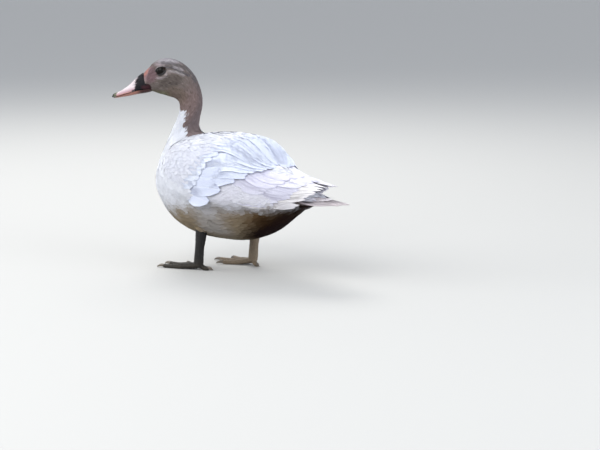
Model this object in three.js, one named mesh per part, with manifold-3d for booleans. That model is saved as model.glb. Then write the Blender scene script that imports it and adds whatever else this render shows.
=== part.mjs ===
// A young muscovy duck standing at rest with its head turned to its left, life size, in millimetres.
// +X is forward, +Y is the bird's left and +Z is up. The feet stand on the plane z = 0.
import * as THREE from "three";
import { mergeVertices } from "three/addons/utils/BufferGeometryUtils.js";
import Module from "manifold-3d";

const wasm = await Module();
wasm.setup();

// Driving dimensions
const seam = 0.3; // clear space between touching pieces
const cutClearance = 0.45; // how much a piece is grown before it cuts its neighbour
const headTurn = 36; // degrees to the bird's left
const neckAxisX = 66; // upright line that the neck turns about

const radians = THREE.MathUtils.degToRad;
const lerp = THREE.MathUtils.lerp;
const smoothstep = THREE.MathUtils.smoothstep;

// The body, neck and head are one skin through these stations, from the tail root to the bill.
// Each gives the back line and the belly line as [x, z], the half width, and how high the widest place is.
const stations = [
  { at: "tail root", back: [-150, 113], belly: [-150, 113], half: 0, widest: 0.5 },
  { at: "vent", back: [-141, 124], belly: [-143, 98], half: 21, widest: 0.55 },
  { at: "rump", back: [-118, 139], belly: [-117, 78], half: 37, widest: 0.55 },
  { at: "rear belly", back: [-88, 156], belly: [-84, 56], half: 51, widest: 0.53 },
  { at: "loin", back: [-52, 172], belly: [-46, 44], half: 62, widest: 0.51 },
  { at: "middle", back: [-14, 182], belly: [-8, 42], half: 68, widest: 0.5 },
  { at: "shoulders", back: [18, 185], belly: [26, 44], half: 69, widest: 0.5 },
  { at: "keel", back: [38, 186], belly: [61, 53.5], half: 66, widest: 0.5 },
  { at: "low breast", back: [46, 189], belly: [89, 72], half: 57, widest: 0.49 },
  { at: "breast", back: [48.5, 190], belly: [107.5, 97], half: 48.5, widest: 0.45 },
  { at: "crop", back: [52, 194.5], belly: [110, 128], half: 38, widest: 0.43 },
  { at: "neck root", back: [53, 200], belly: [103, 161], half: 28.5, widest: 0.44 },
  { at: "low neck", back: [51, 209.5], belly: [93, 187], half: 22, widest: 0.48 },
  { at: "neck", back: [49, 221], belly: [84, 207], half: 18.8, widest: 0.5 },
  { at: "high neck", back: [48.5, 233], belly: [80.5, 221.5], half: 18, widest: 0.5 },
  { at: "nape", back: [52, 249], belly: [82, 229], half: 18.3, widest: 0.5 },
  { at: "back of head", back: [59.5, 266], belly: [87, 233.5], half: 20.3, widest: 0.5 },
  { at: "crown", back: [73.5, 280.8], belly: [95, 236], half: 22.3, widest: 0.47 },
  { at: "top of head", back: [91, 289], belly: [101, 238], half: 23.2, widest: 0.45 },
  { at: "eyes", back: [107.5, 288.4], belly: [109, 240], half: 21.6, widest: 0.44 },
  { at: "brow", back: [118.5, 282], belly: [116, 242.5], half: 17.8, widest: 0.42 },
  { at: "forehead", back: [126, 275.2], belly: [122, 244], half: 14.4, widest: 0.4 },
  { at: "bill root", back: [131.5, 268.5], belly: [127, 244.5], half: 11.8, widest: 0.42 },
  { at: "face", back: [131, 258], belly: [131, 258], half: 0, widest: 0.5 },
];
const stationIndex = (name) => stations.findIndex((station) => station.at === name);
const shareOf = (name) => stationIndex(name) / (stations.length - 1);
const backLine = new THREE.CatmullRomCurve3(
  stations.map(({ back }) => new THREE.Vector3(back[0], 0, back[1])),
);
const bellyLine = new THREE.CatmullRomCurve3(
  stations.map(({ belly }) => new THREE.Vector3(belly[0], 0, belly[1])),
);
const girth = new THREE.CatmullRomCurve3(
  stations.map(({ half, widest }) => new THREE.Vector3(half, widest, 0)),
);

// Solids. A grown solid stands off the geometry by that much all over, and is what cuts its neighbours.
function solid(geometry, grow = 0) {
  const bare = geometry.clone();
  bare.deleteAttribute("normal");
  bare.deleteAttribute("uv");
  const merged = mergeVertices(bare, 1e-4);
  const corners = merged.index.array;
  if (signedVolume(merged) < 0) {
    for (let i = 0; i < corners.length; i += 3) {
      [corners[i + 1], corners[i + 2]] = [corners[i + 2], corners[i + 1]];
    }
  }
  merged.computeVertexNormals();
  const vertProperties = merged.attributes.position.array.map(
    (value, i) => value + grow * merged.attributes.normal.array[i],
  );
  const triVerts = new Uint32Array(corners);
  return new wasm.Manifold(new wasm.Mesh({ numProp: 3, vertProperties, triVerts }));
}

// Below zero where the faces of a closed geometry point inwards
function signedVolume(geometry) {
  const corners = [0, 1, 2].map(() => new THREE.Vector3());
  const index = geometry.index.array;
  let volume = 0;
  for (let i = 0; i < index.length; i += 3) {
    const [a, b, c] = corners.map((corner, k) =>
      corner.fromBufferAttribute(geometry.attributes.position, index[i + k]),
    );
    volume += a.dot(b.cross(c)) / 6;
  }
  return volume;
}

function geometryOf(body) {
  const mesh = body.getMesh();
  const positions = new Float32Array(mesh.numVert * 3);
  for (let i = 0; i < mesh.numVert; i++) {
    const start = i * mesh.numProp;
    positions.set(mesh.vertProperties.subarray(start, start + 3), i * 3);
  }
  return new THREE.BufferGeometry()
    .setAttribute("position", new THREE.BufferAttribute(positions, 3))
    .setIndex(new THREE.BufferAttribute(new Uint32Array(mesh.triVerts), 1));
}

function largestOf(body) {
  return body.decompose().reduce((a, b) => (a.volume() > b.volume() ? a : b));
}

function joined(geometries, grow = 0) {
  return geometries.map((piece) => solid(piece, grow)).reduce((whole, piece) => whole.add(piece));
}

function moulded(geometry, place) {
  const position = geometry.attributes.position;
  const point = new THREE.Vector3();
  for (let i = 0; i < position.count; i++) {
    point.fromBufferAttribute(position, i);
    const moved = place(point);
    position.setXYZ(i, moved.x, moved.y, moved.z);
  }
  return geometry;
}

// The same solid on the other side of the bird's middle plane
const mirrored = (body) => solid(geometryOf(body).scale(1, -1, 1));

function box(low, high) {
  const size = new THREE.Vector3().subVectors(high, low);
  const centre = new THREE.Vector3().addVectors(low, high).multiplyScalar(0.5);
  return new THREE.BoxGeometry(size.x, size.y, size.z).translate(centre.x, centre.y, centre.z);
}

// A ball moulded to a surface that is given by the share along its length and the angle round it.
function closedSkin(sides, rows, surface) {
  return moulded(new THREE.SphereGeometry(1, sides, rows), (p) => {
    const along = Math.acos(THREE.MathUtils.clamp(p.y, -1, 1)) / Math.PI;
    if (Math.hypot(p.x, p.z) > 1e-6) return surface(along, Math.atan2(p.z, p.x));
    return surface(along, Math.PI / 2).lerp(surface(along, -Math.PI / 2), 0.5);
  });
}

// Turning the neck and head to the side
function turnedBy(point, degrees) {
  const turn = radians(degrees);
  const x = point.x - neckAxisX;
  return new THREE.Vector3(
    neckAxisX + x * Math.cos(turn) - point.y * Math.sin(turn),
    x * Math.sin(turn) + point.y * Math.cos(turn),
    point.z,
  );
}
const withHead = (geometry) => moulded(geometry, (p) => turnedBy(p, headTurn));

// The skin's surface at a share of its length and an angle round it, with 90 degrees on the back
function bodySurface(share, angle) {
  const top = backLine.getPoint(share);
  const bottom = bellyLine.getPoint(share);
  const { x: half, y: widest } = girth.getPoint(share);
  const axis = new THREE.Vector3().subVectors(top, bottom);
  const depth = axis.length();
  const up = depth > 1e-6 ? axis.divideScalar(depth) : new THREE.Vector3(0, 0, 1);
  const across = Math.cos(angle);
  const rise = Math.sin(angle);
  const reach = (rise > 0 ? 1 - widest : widest) * depth;
  const point = bottom
    .clone()
    .addScaledVector(up, widest * depth)
    .addScaledVector(up, rise * reach);
  point.y = across * half;
  const twist = smoothstep(share, shareOf("crop"), shareOf("nape"));
  return turnedBy(point, headTurn * twist);
}


// A plate that bends along its length: each rung gives its middle, its half width as a vector and its
// half thickness as a vector. Both faces are split into triangles alike, so they never cross.
function plate(rungs) {
  const columns = [-1, 0, 1];
  const points = [];
  for (const { middle, side, thick } of rungs) {
    for (const face of [1, -1]) {
      for (const column of columns) {
        const crown = column === 0 ? 1.5 : 1;
        points.push(
          middle
            .clone()
            .addScaledVector(side, column)
            .addScaledVector(thick, face > 0 ? crown : -1),
        );
      }
    }
  }
  const wide = columns.length;
  const at = (rung, face, column) => rung * 2 * wide + face * wide + column;
  const faces = [];
  const quad = (a, b, c, d) => faces.push(a, b, c, a, c, d);
  for (let i = 0; i < rungs.length - 1; i++) {
    for (let c = 0; c < wide - 1; c++) {
      const top = [at(i, 0, c), at(i, 0, c + 1), at(i + 1, 0, c + 1), at(i + 1, 0, c)];
      const under = [at(i, 1, c), at(i, 1, c + 1), at(i + 1, 1, c + 1), at(i + 1, 1, c)];
      faces.push(top[0], top[1], top[2], top[0], top[2], top[3]);
      faces.push(under[0], under[2], under[1], under[0], under[3], under[2]);
    }
    quad(at(i, 1, 0), at(i, 0, 0), at(i + 1, 0, 0), at(i + 1, 1, 0));
    quad(at(i, 0, wide - 1), at(i, 1, wide - 1), at(i + 1, 1, wide - 1), at(i + 1, 0, wide - 1));
  }
  const last = rungs.length - 1;
  for (let c = 0; c < wide - 1; c++) {
    quad(at(0, 0, c), at(0, 1, c), at(0, 1, c + 1), at(0, 0, c + 1));
    quad(at(last, 0, c + 1), at(last, 1, c + 1), at(last, 1, c), at(last, 0, c));
  }
  const array = new Float32Array(points.flatMap((p) => [p.x, p.y, p.z]));
  return new THREE.BufferGeometry()
    .setAttribute("position", new THREE.BufferAttribute(array, 3))
    .setIndex(faces);
}

// One feather vane on a sheet. The sheet gives a point for a place (a 2D vector) and a lift off it.
const vaneThickness = 1.1;
const vaneShare = [0, 0.42, 0.82, 1];
const vaneWidth = [0.66, 0.98, 0.86, 0.34];
function vane(sheet, { root, tip, width, lift, tilt = 0 }) {
  const step = 0.02;
  const rungs = vaneShare.map((share, i) => {
    const place = new THREE.Vector2().lerpVectors(root, tip, share);
    const beyond = new THREE.Vector2().lerpVectors(root, tip, share + step);
    const raise = lerp(lift[0], lift[1], smoothstep(share, 0, 0.5));
    const middle = sheet(place, raise);
    const out = sheet(place, raise + 1).sub(middle).normalize();
    const along = sheet(beyond, raise).sub(middle).normalize();
    const side = new THREE.Vector3().crossVectors(out, along).normalize();
    const normal = new THREE.Vector3().crossVectors(along, side).normalize();
    side.applyAxisAngle(along, radians(tilt));
    normal.applyAxisAngle(along, radians(tilt));
    const thin = i === vaneShare.length - 1 ? 0.6 : 1;
    return {
      middle,
      side: side.multiplyScalar((vaneWidth[i] * width) / 2),
      thick: normal.multiplyScalar((vaneThickness * thin) / 2),
    };
  });
  return plate(rungs);
}

// A tier of vanes whose roots and tips each follow a curve of three places across the sheet
function tier(sheet, { count, roots, tips, width, lift, tilt, waver = 0 }, draw) {
  const places = (ends) =>
    new THREE.QuadraticBezierCurve(...ends.map(([u, v]) => new THREE.Vector2(u, v)));
  const rootLine = places(roots);
  const tipLine = places(tips);
  return Array.from({ length: count }, (_, i) => {
    const share = count > 1 ? i / (count - 1) : 0.5;
    const tip = tipLine.getPoint(share);
    tip.x += waver * (draw() - 0.5);
    const root = rootLine.getPoint(share);
    return vane(sheet, { root, tip, width, lift, tilt });
  });
}

function seeded(seed) {
  let state = seed;
  return () => {
    state = (state * 1664525 + 1013904223) % 4294967296;
    return state / 4294967296;
  };
}

// Body, neck and head, modelled whole and parted with thin cuts
const bodySides = 22;
const bodyRows = 54;
const wholeSkin = closedSkin(bodySides, bodyRows, bodySurface);
const whole = solid(wholeSkin);
const wholeGrown = solid(wholeSkin, cutClearance);

function parting(centre, tiltDegrees, turnDegrees) {
  const slab = new THREE.BoxGeometry(150, 150, seam);
  slab.rotateY(radians(tiltDegrees));
  slab.rotateZ(radians(turnDegrees));
  return solid(slab.translate(centre.x, centre.y, centre.z));
}
const neckRoot = new THREE.Vector3(80, 0, 176);
const headRoot = turnedBy(new THREE.Vector3(72, 0, 244), headTurn);
const parts = whole
  .subtract(parting(neckRoot, 32, 4))
  .subtract(parting(headRoot, 24, headTurn))
  .decompose()
  .sort((a, b) => a.boundingBox().max[2] - b.boundingBox().max[2]);
const [torso, neck, bareHead] = parts;

// Eyes
const eyeRadius = 8.2;
const eyeCentre = new THREE.Vector3(102.8, 15, 271.4);
const eyeBall = (side) =>
  withHead(
    new THREE.SphereGeometry(eyeRadius, 16, 10).translate(
      eyeCentre.x,
      side * eyeCentre.y,
      eyeCentre.z,
    ),
  );
const lidTurns = { opening: -16, up: 20, forward: 9 }; // degrees that follow the slope of the cheek
function lid(side) {
  const ring = new THREE.TorusGeometry(6.3, 1.1, 5, 13);
  ring.scale(1.16, 0.86, 1);
  ring.rotateZ(radians(lidTurns.opening));
  ring.rotateX(radians(90 + lidTurns.up));
  ring.rotateZ(radians(-lidTurns.forward));
  ring.translate(eyeCentre.x + 0.9, eyeCentre.y + 5.3, eyeCentre.z + 1.9);
  return withHead(ring.scale(1, side, 1));
}

// Bill
const billStations = [
  { x: 117, top: 251, mouth: 249.4, chin: 247.6, half: 1 },
  { x: 120, top: 255, mouth: 248.6, chin: 243.6, half: 10 },
  { x: 125, top: 262, mouth: 247.8, chin: 241.8, half: 12.7 },
  { x: 131, top: 269, mouth: 247, chin: 240.6, half: 12.6 },
  { x: 136, top: 267, mouth: 246.2, chin: 239.9, half: 12 },
  { x: 144, top: 260.2, mouth: 244.4, chin: 238.6, half: 11.2 },
  { x: 154, top: 251.8, mouth: 241.8, chin: 236.8, half: 10.6 },
  { x: 164, top: 245, mouth: 239, chin: 235.2, half: 10.9 },
  { x: 172, top: 240.8, mouth: 236.8, chin: 234, half: 10.4 },
  { x: 177.5, top: 238.4, mouth: 235.4, chin: 233.6, half: 7.6 },
  { x: 180.2, top: 235.6, mouth: 234.6, chin: 233.8, half: 1 },
];
const billTop = new THREE.CatmullRomCurve3(
  billStations.map(({ x, top, half }) => new THREE.Vector3(x, half, top)),
);
const billMouth = new THREE.CatmullRomCurve3(
  billStations.map(({ x, mouth, chin }) => new THREE.Vector3(x, chin, mouth)),
);
function billSurface(upper, share, angle) {
  const { x, y: half, z: top } = billTop.getPoint(share);
  const { y: chin, z: mouth } = billMouth.getPoint(share);
  const across = Math.cos(angle);
  const rise = Math.sin(angle);
  const round = Math.sign(across) * Math.abs(across) ** 0.85;
  if (upper) {
    const z = rise > 0 ? mouth + rise * (top - mouth) : mouth + rise * 0.4;
    return new THREE.Vector3(x, round * half, z);
  }
  const inside = Math.max(half - 1.1, 0.4);
  const z = mouth - seam - 0.5 + (rise > 0 ? rise * 0.1 : rise * Math.max(mouth - 0.8 - chin, 0.4));
  return new THREE.Vector3(x - 1.2, round * inside, z);
}
const billPiece = (upper) =>
  withHead(closedSkin(12, 14, (share, angle) => billSurface(upper, share, angle)));

function nostril(side) {
  const pit = new THREE.SphereGeometry(1, 8, 6).scale(3.4, 3, 1.5);
  pit.rotateY(radians(34));
  return withHead(pit.translate(140.5, side * 8.4, 257.6));
}
const nailPiece = () =>
  withHead(
    new THREE.SphereGeometry(1, 10, 6)
      .scale(6.2, 4.6, 1.5)
      .rotateY(radians(27))
      .translate(174.6, 0, 239.4),
  );

const eyeSolids = [solid(eyeBall(1)), solid(eyeBall(-1))];
const socket = joined([eyeBall(1), eyeBall(-1)], cutClearance);
const head = largestOf(bareHead.add(solid(lid(1))).add(solid(lid(-1))).subtract(socket));
const billUpper = largestOf(
  solid(billPiece(true))
    .add(solid(nailPiece()))
    .subtract(solid(nostril(1)))
    .subtract(solid(nostril(-1)))
    .subtract(wholeGrown),
);
const billLower = largestOf(
  solid(billPiece(false)).subtract(wholeGrown).subtract(solid(billPiece(true), cutClearance)),
);

// The folded wing lies on a form that is the body's outline with its feathers, and runs on to the wing tips.
// A place on it is (x, angle), where 90 degrees is the middle of the back.
const formX = [84, 66, 40, 0, -50, -68, -85, -100, -120, -155, -192];
const formHalf = [40, 57, 69, 75, 72, 66, 59, 54, 48, 42, 36];
const formMiddle = [136, 131, 124, 120, 118, 117, 115, 113, 111, 108, 105];
const formTop = [158, 175, 185, 189, 184, 172, 156, 147, 141, 136, 131];
const formOf = (values) =>
  new THREE.CatmullRomCurve3(values.map((value, i) => new THREE.Vector3(formX[i], value, 0)));
const formCurves = [formHalf, formMiddle, formTop].map(formOf);
function formAt(x) {
  let i = formX.findIndex((value) => value <= x);
  i = THREE.MathUtils.clamp(i < 0 ? formX.length - 1 : i, 1, formX.length - 1);
  const share = (i - 1 + (formX[i - 1] - x) / (formX[i - 1] - formX[i])) / (formX.length - 1);
  return formCurves.map((curve) => curve.getPoint(THREE.MathUtils.clamp(share, 0, 1)).y);
}
const formFullness = 0.72; // below 1 the section grows squarer
const full = (value) => Math.sign(value) * Math.abs(value) ** formFullness;
function wingForm(place, lift, close = 1) {
  const [half, middle, top] = formAt(place.x);
  const angle = radians(place.y);
  return new THREE.Vector3(
    place.x,
    (half + lift) * close * full(Math.cos(angle)),
    middle + (top - middle + lift) * close * full(Math.sin(angle)),
  );
}

const wingTiers = [
  { // flight feathers, whose tips run along the lower rear edge
    count: 8, width: 18, lift: [-3, -0.5], tilt: 6, waver: 7,
    roots: [[-42, 2], [-85, 10], [-92, 60]],
    tips: [[-100, -14], [-202, -14], [-184, 58]],
  },
  { // tertials
    count: 3, width: 22, lift: [-3, 1.2], tilt: 5, waver: 6,
    roots: [[-58, 22], [-68, 42], [-62, 74]],
    tips: [[-114, 14], [-152, 34], [-128, 72]],
  },
  { // greater coverts
    count: 7, width: 21, lift: [-4, 2], tilt: 6, waver: 4,
    roots: [[32, 0], [-26, 14], [-52, 62]],
    tips: [[0, -12], [-74, -14], [-94, 50]],
  },
  { // hind scapulars
    count: 3, width: 27, lift: [-4, 2.4], tilt: 5, waver: 5,
    roots: [[-14, 30], [-38, 50], [-36, 76]],
    tips: [[-54, 24], [-88, 44], [-86, 76]],
  },
  { // median coverts
    count: 5, width: 21, lift: [-4, 2.6], tilt: 6, waver: 4,
    roots: [[54, -4], [14, 8], [-14, 40]],
    tips: [[28, -13], [-24, -6], [-50, 30]],
  },
];

// The wing's body is the form, cut to the wing's outline, open inside behind the rump and hollowed by the torso
function formSolid(front, rear, lift, sides, rows) {
  return solid(
    closedSkin(sides, rows, (share, angle) => {
      const close = Math.sqrt(Math.min(1, share / 0.1, (1 - share) / 0.08));
      const place = new THREE.Vector2(lerp(front, rear, share), THREE.MathUtils.radToDeg(angle));
      return wingForm(place, lift, close);
    }),
  );
}
function wingCore() {
  const outline = new THREE.Shape();
  outline.moveTo(76, 150);
  outline.quadraticCurveTo(80, 122, 58, 112);
  outline.quadraticCurveTo(30, 100, -14, 107);
  outline.quadraticCurveTo(-60, 112, -112, 112);
  outline.lineTo(-140, 116);
  outline.lineTo(-140, 200);
  outline.lineTo(20, 200);
  outline.quadraticCurveTo(60, 196, 76, 150);
  const block = new THREE.ExtrudeGeometry(outline, { depth: 100, bevelEnabled: false, curveSegments: 5 });
  block.rotateX(radians(90));
  block.translate(0, 100 + 20, 0);
  return formSolid(84, -150, 0, 22, 20)
    .intersect(solid(block))
    .subtract(formSolid(-100, -230, -5, 12, 10));
}

// Tail
const tailRoot = { x: -128, z: 116 };
const tailDrop = 9; // degrees below level
function tailSheet(place, lift) {
  const [reach, fan] = [place.x, radians(place.y)];
  const y = reach * Math.sin(fan);
  return new THREE.Vector3(
    tailRoot.x - reach * Math.cos(fan),
    y,
    tailRoot.z - reach * Math.tan(radians(tailDrop)) - (y * y) / 180 + lift,
  );
}
const tailTiers = [
  { // tail feathers, the middle ones longest
    count: 9, width: 16, lift: [-1, -1], tilt: 4, waver: 5,
    roots: [[12, -62], [20, 0], [12, 62]],
    tips: [[68, -25], [88, 0], [68, 25]],
  },
  { // upper tail coverts
    count: 4, width: 18, lift: [0, 1], tilt: 4, waver: 3,
    roots: [[4, -50], [6, 0], [4, 50]],
    tips: [[38, -26], [52, 0], [38, 26]],
  },
];
function tailCore() {
  return closedSkin(16, 10, (share, angle) => {
    const x = lerp(-120, -172, share);
    const close = Math.sqrt(Math.min(1, share / 0.1, (1 - share) / 0.3));
    const half = lerp(24, 17, share) * close;
    const top = lerp(3, 1, share) * close;
    const under = lerp(26, 5, share) * close;
    const rise = Math.sin(angle);
    const z = tailRoot.z + (x - tailRoot.x) * Math.tan(radians(tailDrop));
    return new THREE.Vector3(x, half * Math.cos(angle), z - 1.5 + rise * (rise > 0 ? top : under));
  });
}
const tailDraw = seeded(7);
const tailPieces = [
  tailCore(),
  ...tailTiers.flatMap((row) => tier(tailSheet, row, tailDraw)),
];
const tail = largestOf(joined(tailPieces).subtract(wholeGrown));
const tailGrown = joined(tailPieces, cutClearance);

function wing(seed, side) {
  const draw = seeded(seed);
  const vanes = wingTiers.flatMap((row) => tier(wingForm, row, draw));
  let body = wingCore().add(joined(vanes));
  if (side < 0) body = mirrored(body);
  const half = solid(
    side > 0
      ? box(new THREE.Vector3(-300, seam / 2, 0), new THREE.Vector3(200, 200, 300))
      : box(new THREE.Vector3(-300, -200, 0), new THREE.Vector3(200, -seam / 2, 300)),
  );
  return largestOf(body.intersect(half).subtract(wholeGrown).subtract(tailGrown));
}

// Legs
function limb(points, sizes, reference, sides = 10, rows = 10) {
  const path = new THREE.CatmullRomCurve3(points.map((p) => new THREE.Vector3(...p)));
  const girths = new THREE.CatmullRomCurve3(sizes.map(([a, b]) => new THREE.Vector3(a, b, 0)));
  return closedSkin(sides, rows, (share, angle) => {
    const along = path.getTangent(share);
    const first = reference.clone().addScaledVector(along, -reference.dot(along)).normalize();
    const second = new THREE.Vector3().crossVectors(first, along);
    const close = Math.min(1, Math.sqrt(Math.min(share, 1 - share) / 0.06));
    const { x: a, y: b } = girths.getPoint(share);
    return path
      .getPoint(share)
      .addScaledVector(first, a * close * Math.sin(angle))
      .addScaledVector(second, -b * close * Math.cos(angle));
  });
}
const forward = new THREE.Vector3(1, 0, 0);
const upward = new THREE.Vector3(0, 0, 1);
const hipSpread = 39; // from the middle line to each foot
const stride = 16; // how far the left foot stands ahead of the middle, and the right behind it
const hockHeight = 50;
const ankleHeight = 14;
const toes = [
  { name: "inner", angle: -24, length: 45, claw: 9 },
  { name: "middle", angle: 0, length: 60, claw: 10 },
  { name: "outer", angle: 23, length: 55, claw: 9 },
  { name: "hind", angle: -152, length: 15, claw: 6 },
];
const toeRadius = 3.5;
function toePath({ angle, length, name }, x, y) {
  const turn = radians(angle);
  const lift = name === "hind" ? 5 : 4.4;
  return [0, 0.3, 0.65, 1].map((share) => [
    x + Math.cos(turn) * length * share,
    y + Math.sin(turn) * length * share,
    lerp(lift + 2.6, toeRadius - 0.7, Math.min(1, share * 1.6)),
  ]);
}
const toeSizes = [[4, 4.2], [3.6, 3.5], [3.3, 3.2], [2.7, 2.6]];
function foot(x, y) {
  const spread = toes.map((toe) => ({ ...toe, angle: toe.angle - 4 }));
  const toePieces = spread.map((toe) => limb(toePath(toe, x, y), toeSizes, upward, 8, 6));
  const pieces = [...toePieces];
  const [inner, middle, outer] = spread.map(({ angle, length }) => {
    const turn = radians(angle);
    return new THREE.Vector2(x + Math.cos(turn) * length * 0.93, y + Math.sin(turn) * length * 0.93);
  });
  const web = new THREE.Shape();
  web.moveTo(x - 2, y);
  web.lineTo(inner.x, inner.y);
  const bay = (a, b) => new THREE.Vector2().addVectors(a, b).multiplyScalar(0.5).lerp(new THREE.Vector2(x, y), 0.24);
  const [first, second] = [bay(inner, middle), bay(middle, outer)];
  web.quadraticCurveTo(first.x, first.y, middle.x, middle.y);
  web.quadraticCurveTo(second.x, second.y, outer.x, outer.y);
  web.closePath();
  const sheet = new THREE.ExtrudeGeometry(web, { depth: 1.5, bevelEnabled: false, curveSegments: 6 });
  pieces.push(sheet.translate(0, 0, 1.2));
  const shank = limb(
    [[x - 5, y - 1, hockHeight + 14], [x - 6, y - 0.5, hockHeight], [x - 3, y, 30], [x - 1, y, ankleHeight], [x, y, 4]],
    [[7.4, 6.6], [7.6, 6.2], [6, 4.8], [6.4, 5.6], [5.4, 5.4]],
    forward,
    10,
    14,
  );
  const thigh = limb(
    [[x - 20, y - 10, 112], [x - 14, y - 3, 84], [x - 8, y - 1, 64], [x - 6, y, hockHeight + 0.4]],
    [[26, 16], [22, 14], [14, 11], [8.6, 7.6]],
    forward,
    12,
    10,
  );
  pieces.push(shank, thigh);
  const floor = box(new THREE.Vector3(-300, -300, -40), new THREE.Vector3(300, 300, 0));
  let leg = joined(pieces).subtract(solid(floor)).subtract(wholeGrown);
  for (const height of [hockHeight, ankleHeight]) {
    const cut = box(new THREE.Vector3(-300, -300, height - seam), new THREE.Vector3(300, 300, height));
    leg = leg.subtract(solid(cut));
  }
  const levels = leg.decompose().sort((a, b) => b.volume() - a.volume()).slice(0, 3);
  levels.sort((a, b) => b.boundingBox().max[2] - a.boundingBox().max[2]);
  const claws = spread.map((toe) => {
    const turn = radians(toe.angle);
    const ends = toePath(toe, x, y);
    const [ex, ey, ez] = ends[3];
    const ahead = (reach, z) => [ex + Math.cos(turn) * reach, ey + Math.sin(turn) * reach, z];
    const piece = limb(
      [ahead(-4, ez), ahead(0, ez + 0.8), ahead(toe.claw * 0.6, ez - 0.2), ahead(toe.claw, 0.9)],
      [[2.1, 1.9], [2.2, 1.9], [1.5, 1.2], [0.4, 0.35]],
      upward,
      6,
      5,
    );
    return { name: toe.name, piece: solid(piece).subtract(solid(floor)) };
  });
  const grownToes = joined(toePieces, cutClearance);
  return {
    thigh: levels[0],
    shank: levels[1],
    foot: levels[2],
    claws: claws.map(({ name, piece }) => ({ name, piece: largestOf(piece.subtract(grownToes)) })),
  };
}

// The duck
const duck = new THREE.Group();
function add(name, body, colour, roughness) {
  const material = new THREE.MeshStandardMaterial({ color: colour, roughness, metalness: 0 });
  const mesh = new THREE.Mesh(geometryOf(body), material);
  mesh.name = name;
  duck.add(mesh);
}
const white = 0xe9e6ea;
const lilac = 0x8d8081;
add("torso", torso, white, 0.9);
add("neck", neck, lilac, 0.9);
add("head", head, lilac, 0.9);
add("bill_upper", billUpper, 0xd9a9a8, 0.5);
add("bill_lower", billLower, 0xb98480, 0.5);
add("eye_left", eyeSolids[0], 0x17100d, 0.1);
add("eye_right", eyeSolids[1], 0x17100d, 0.1);
add("wing_left", wing(11, 1), white, 0.85);
add("wing_right", wing(23, -1), white, 0.85);
add("tail", tail, 0xd8cdca, 0.85);
for (const [side, name] of [[1, "left"], [-1, "right"]]) {
  const leg = foot(side * stride, hipSpread);
  const placed = (body) => (side > 0 ? body : mirrored(body));
  add("thigh_" + name, placed(leg.thigh), white, 0.9);
  add("shank_" + name, placed(leg.shank), 0x4a4646, 0.7);
  add("foot_" + name, placed(leg.foot), 0x4a4646, 0.7);
  for (const claw of leg.claws) add(`claw_${name}_${claw.name}`, placed(claw.piece), 0x2b2725, 0.5);
}
const bounds = new THREE.Box3().setFromObject(duck);
const centre = bounds.getCenter(new THREE.Vector3());
duck.position.set(-centre.x, -centre.y, -bounds.min.z);
export default duck;
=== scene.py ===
# %% [markdown]
# # A young muscovy duck
# The bird stands at rest with its head turned to its left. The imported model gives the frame: where the
# body, head, wings, tail and legs are. Here the same forms get a smooth skin, real feathers, eyes, bill
# and legs. Each step first says what the thing is on the real bird, and then how it is made.

# %% Load the frame
import itertools
import math

import bpy
import numpy as np
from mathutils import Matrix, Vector, kdtree


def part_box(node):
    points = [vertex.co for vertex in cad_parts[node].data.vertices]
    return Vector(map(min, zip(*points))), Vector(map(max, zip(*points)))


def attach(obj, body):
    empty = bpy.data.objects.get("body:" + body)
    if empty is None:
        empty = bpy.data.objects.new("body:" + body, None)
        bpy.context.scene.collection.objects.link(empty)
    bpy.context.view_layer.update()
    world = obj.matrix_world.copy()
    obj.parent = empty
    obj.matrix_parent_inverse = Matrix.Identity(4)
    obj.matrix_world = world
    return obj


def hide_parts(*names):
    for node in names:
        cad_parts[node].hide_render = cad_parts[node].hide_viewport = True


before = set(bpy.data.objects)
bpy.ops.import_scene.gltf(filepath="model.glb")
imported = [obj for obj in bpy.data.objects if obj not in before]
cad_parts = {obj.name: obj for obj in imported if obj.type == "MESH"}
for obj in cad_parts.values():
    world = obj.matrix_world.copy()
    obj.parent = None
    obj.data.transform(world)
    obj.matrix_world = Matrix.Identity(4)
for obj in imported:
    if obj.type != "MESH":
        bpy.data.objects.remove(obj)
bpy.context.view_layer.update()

# %% [markdown]
# All the sizes below are millimetres in the bird's own frame: +X forward, +Y the bird's left, z = 0 the
# floor. The tail root of the body lies at x = -150 there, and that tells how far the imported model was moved.

# %% From millimetres to the frame
MM = 0.001
torso_low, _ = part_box("torso")
wing_box = [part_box("wing_left"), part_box("wing_right")]
SHIFT = np.array([
    torso_low.x + 150 * MM,
    (wing_box[0][1].y + wing_box[1][0].y) / 2,
    0.0,
])
print("the bird's own zero is at", SHIFT)


def to_frame(points):
    return np.asarray(points, float) * MM + SHIFT


def unit(vectors):
    return vectors / np.maximum(np.linalg.norm(vectors, axis=-1, keepdims=True), 1e-9)


def dot(a, b):
    return np.sum(a * b, axis=-1)


def smooth(value, start, end):
    """0 at start, 1 at end, smooth between them; start may be the larger one."""
    share = np.clip((value - start) / (end - start), 0, 1)
    return share * share * (3 - 2 * share)


def lerp(a, b, share):
    return a + (b - a) * share


# %% [markdown]
# The body, neck and head are one form. It is lofted through stations: at each one the back line, the belly
# line, half the width and the height of the widest place are given. A curve through the stations gives
# every place between them, so a few dozen numbers make the whole bird.

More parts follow.
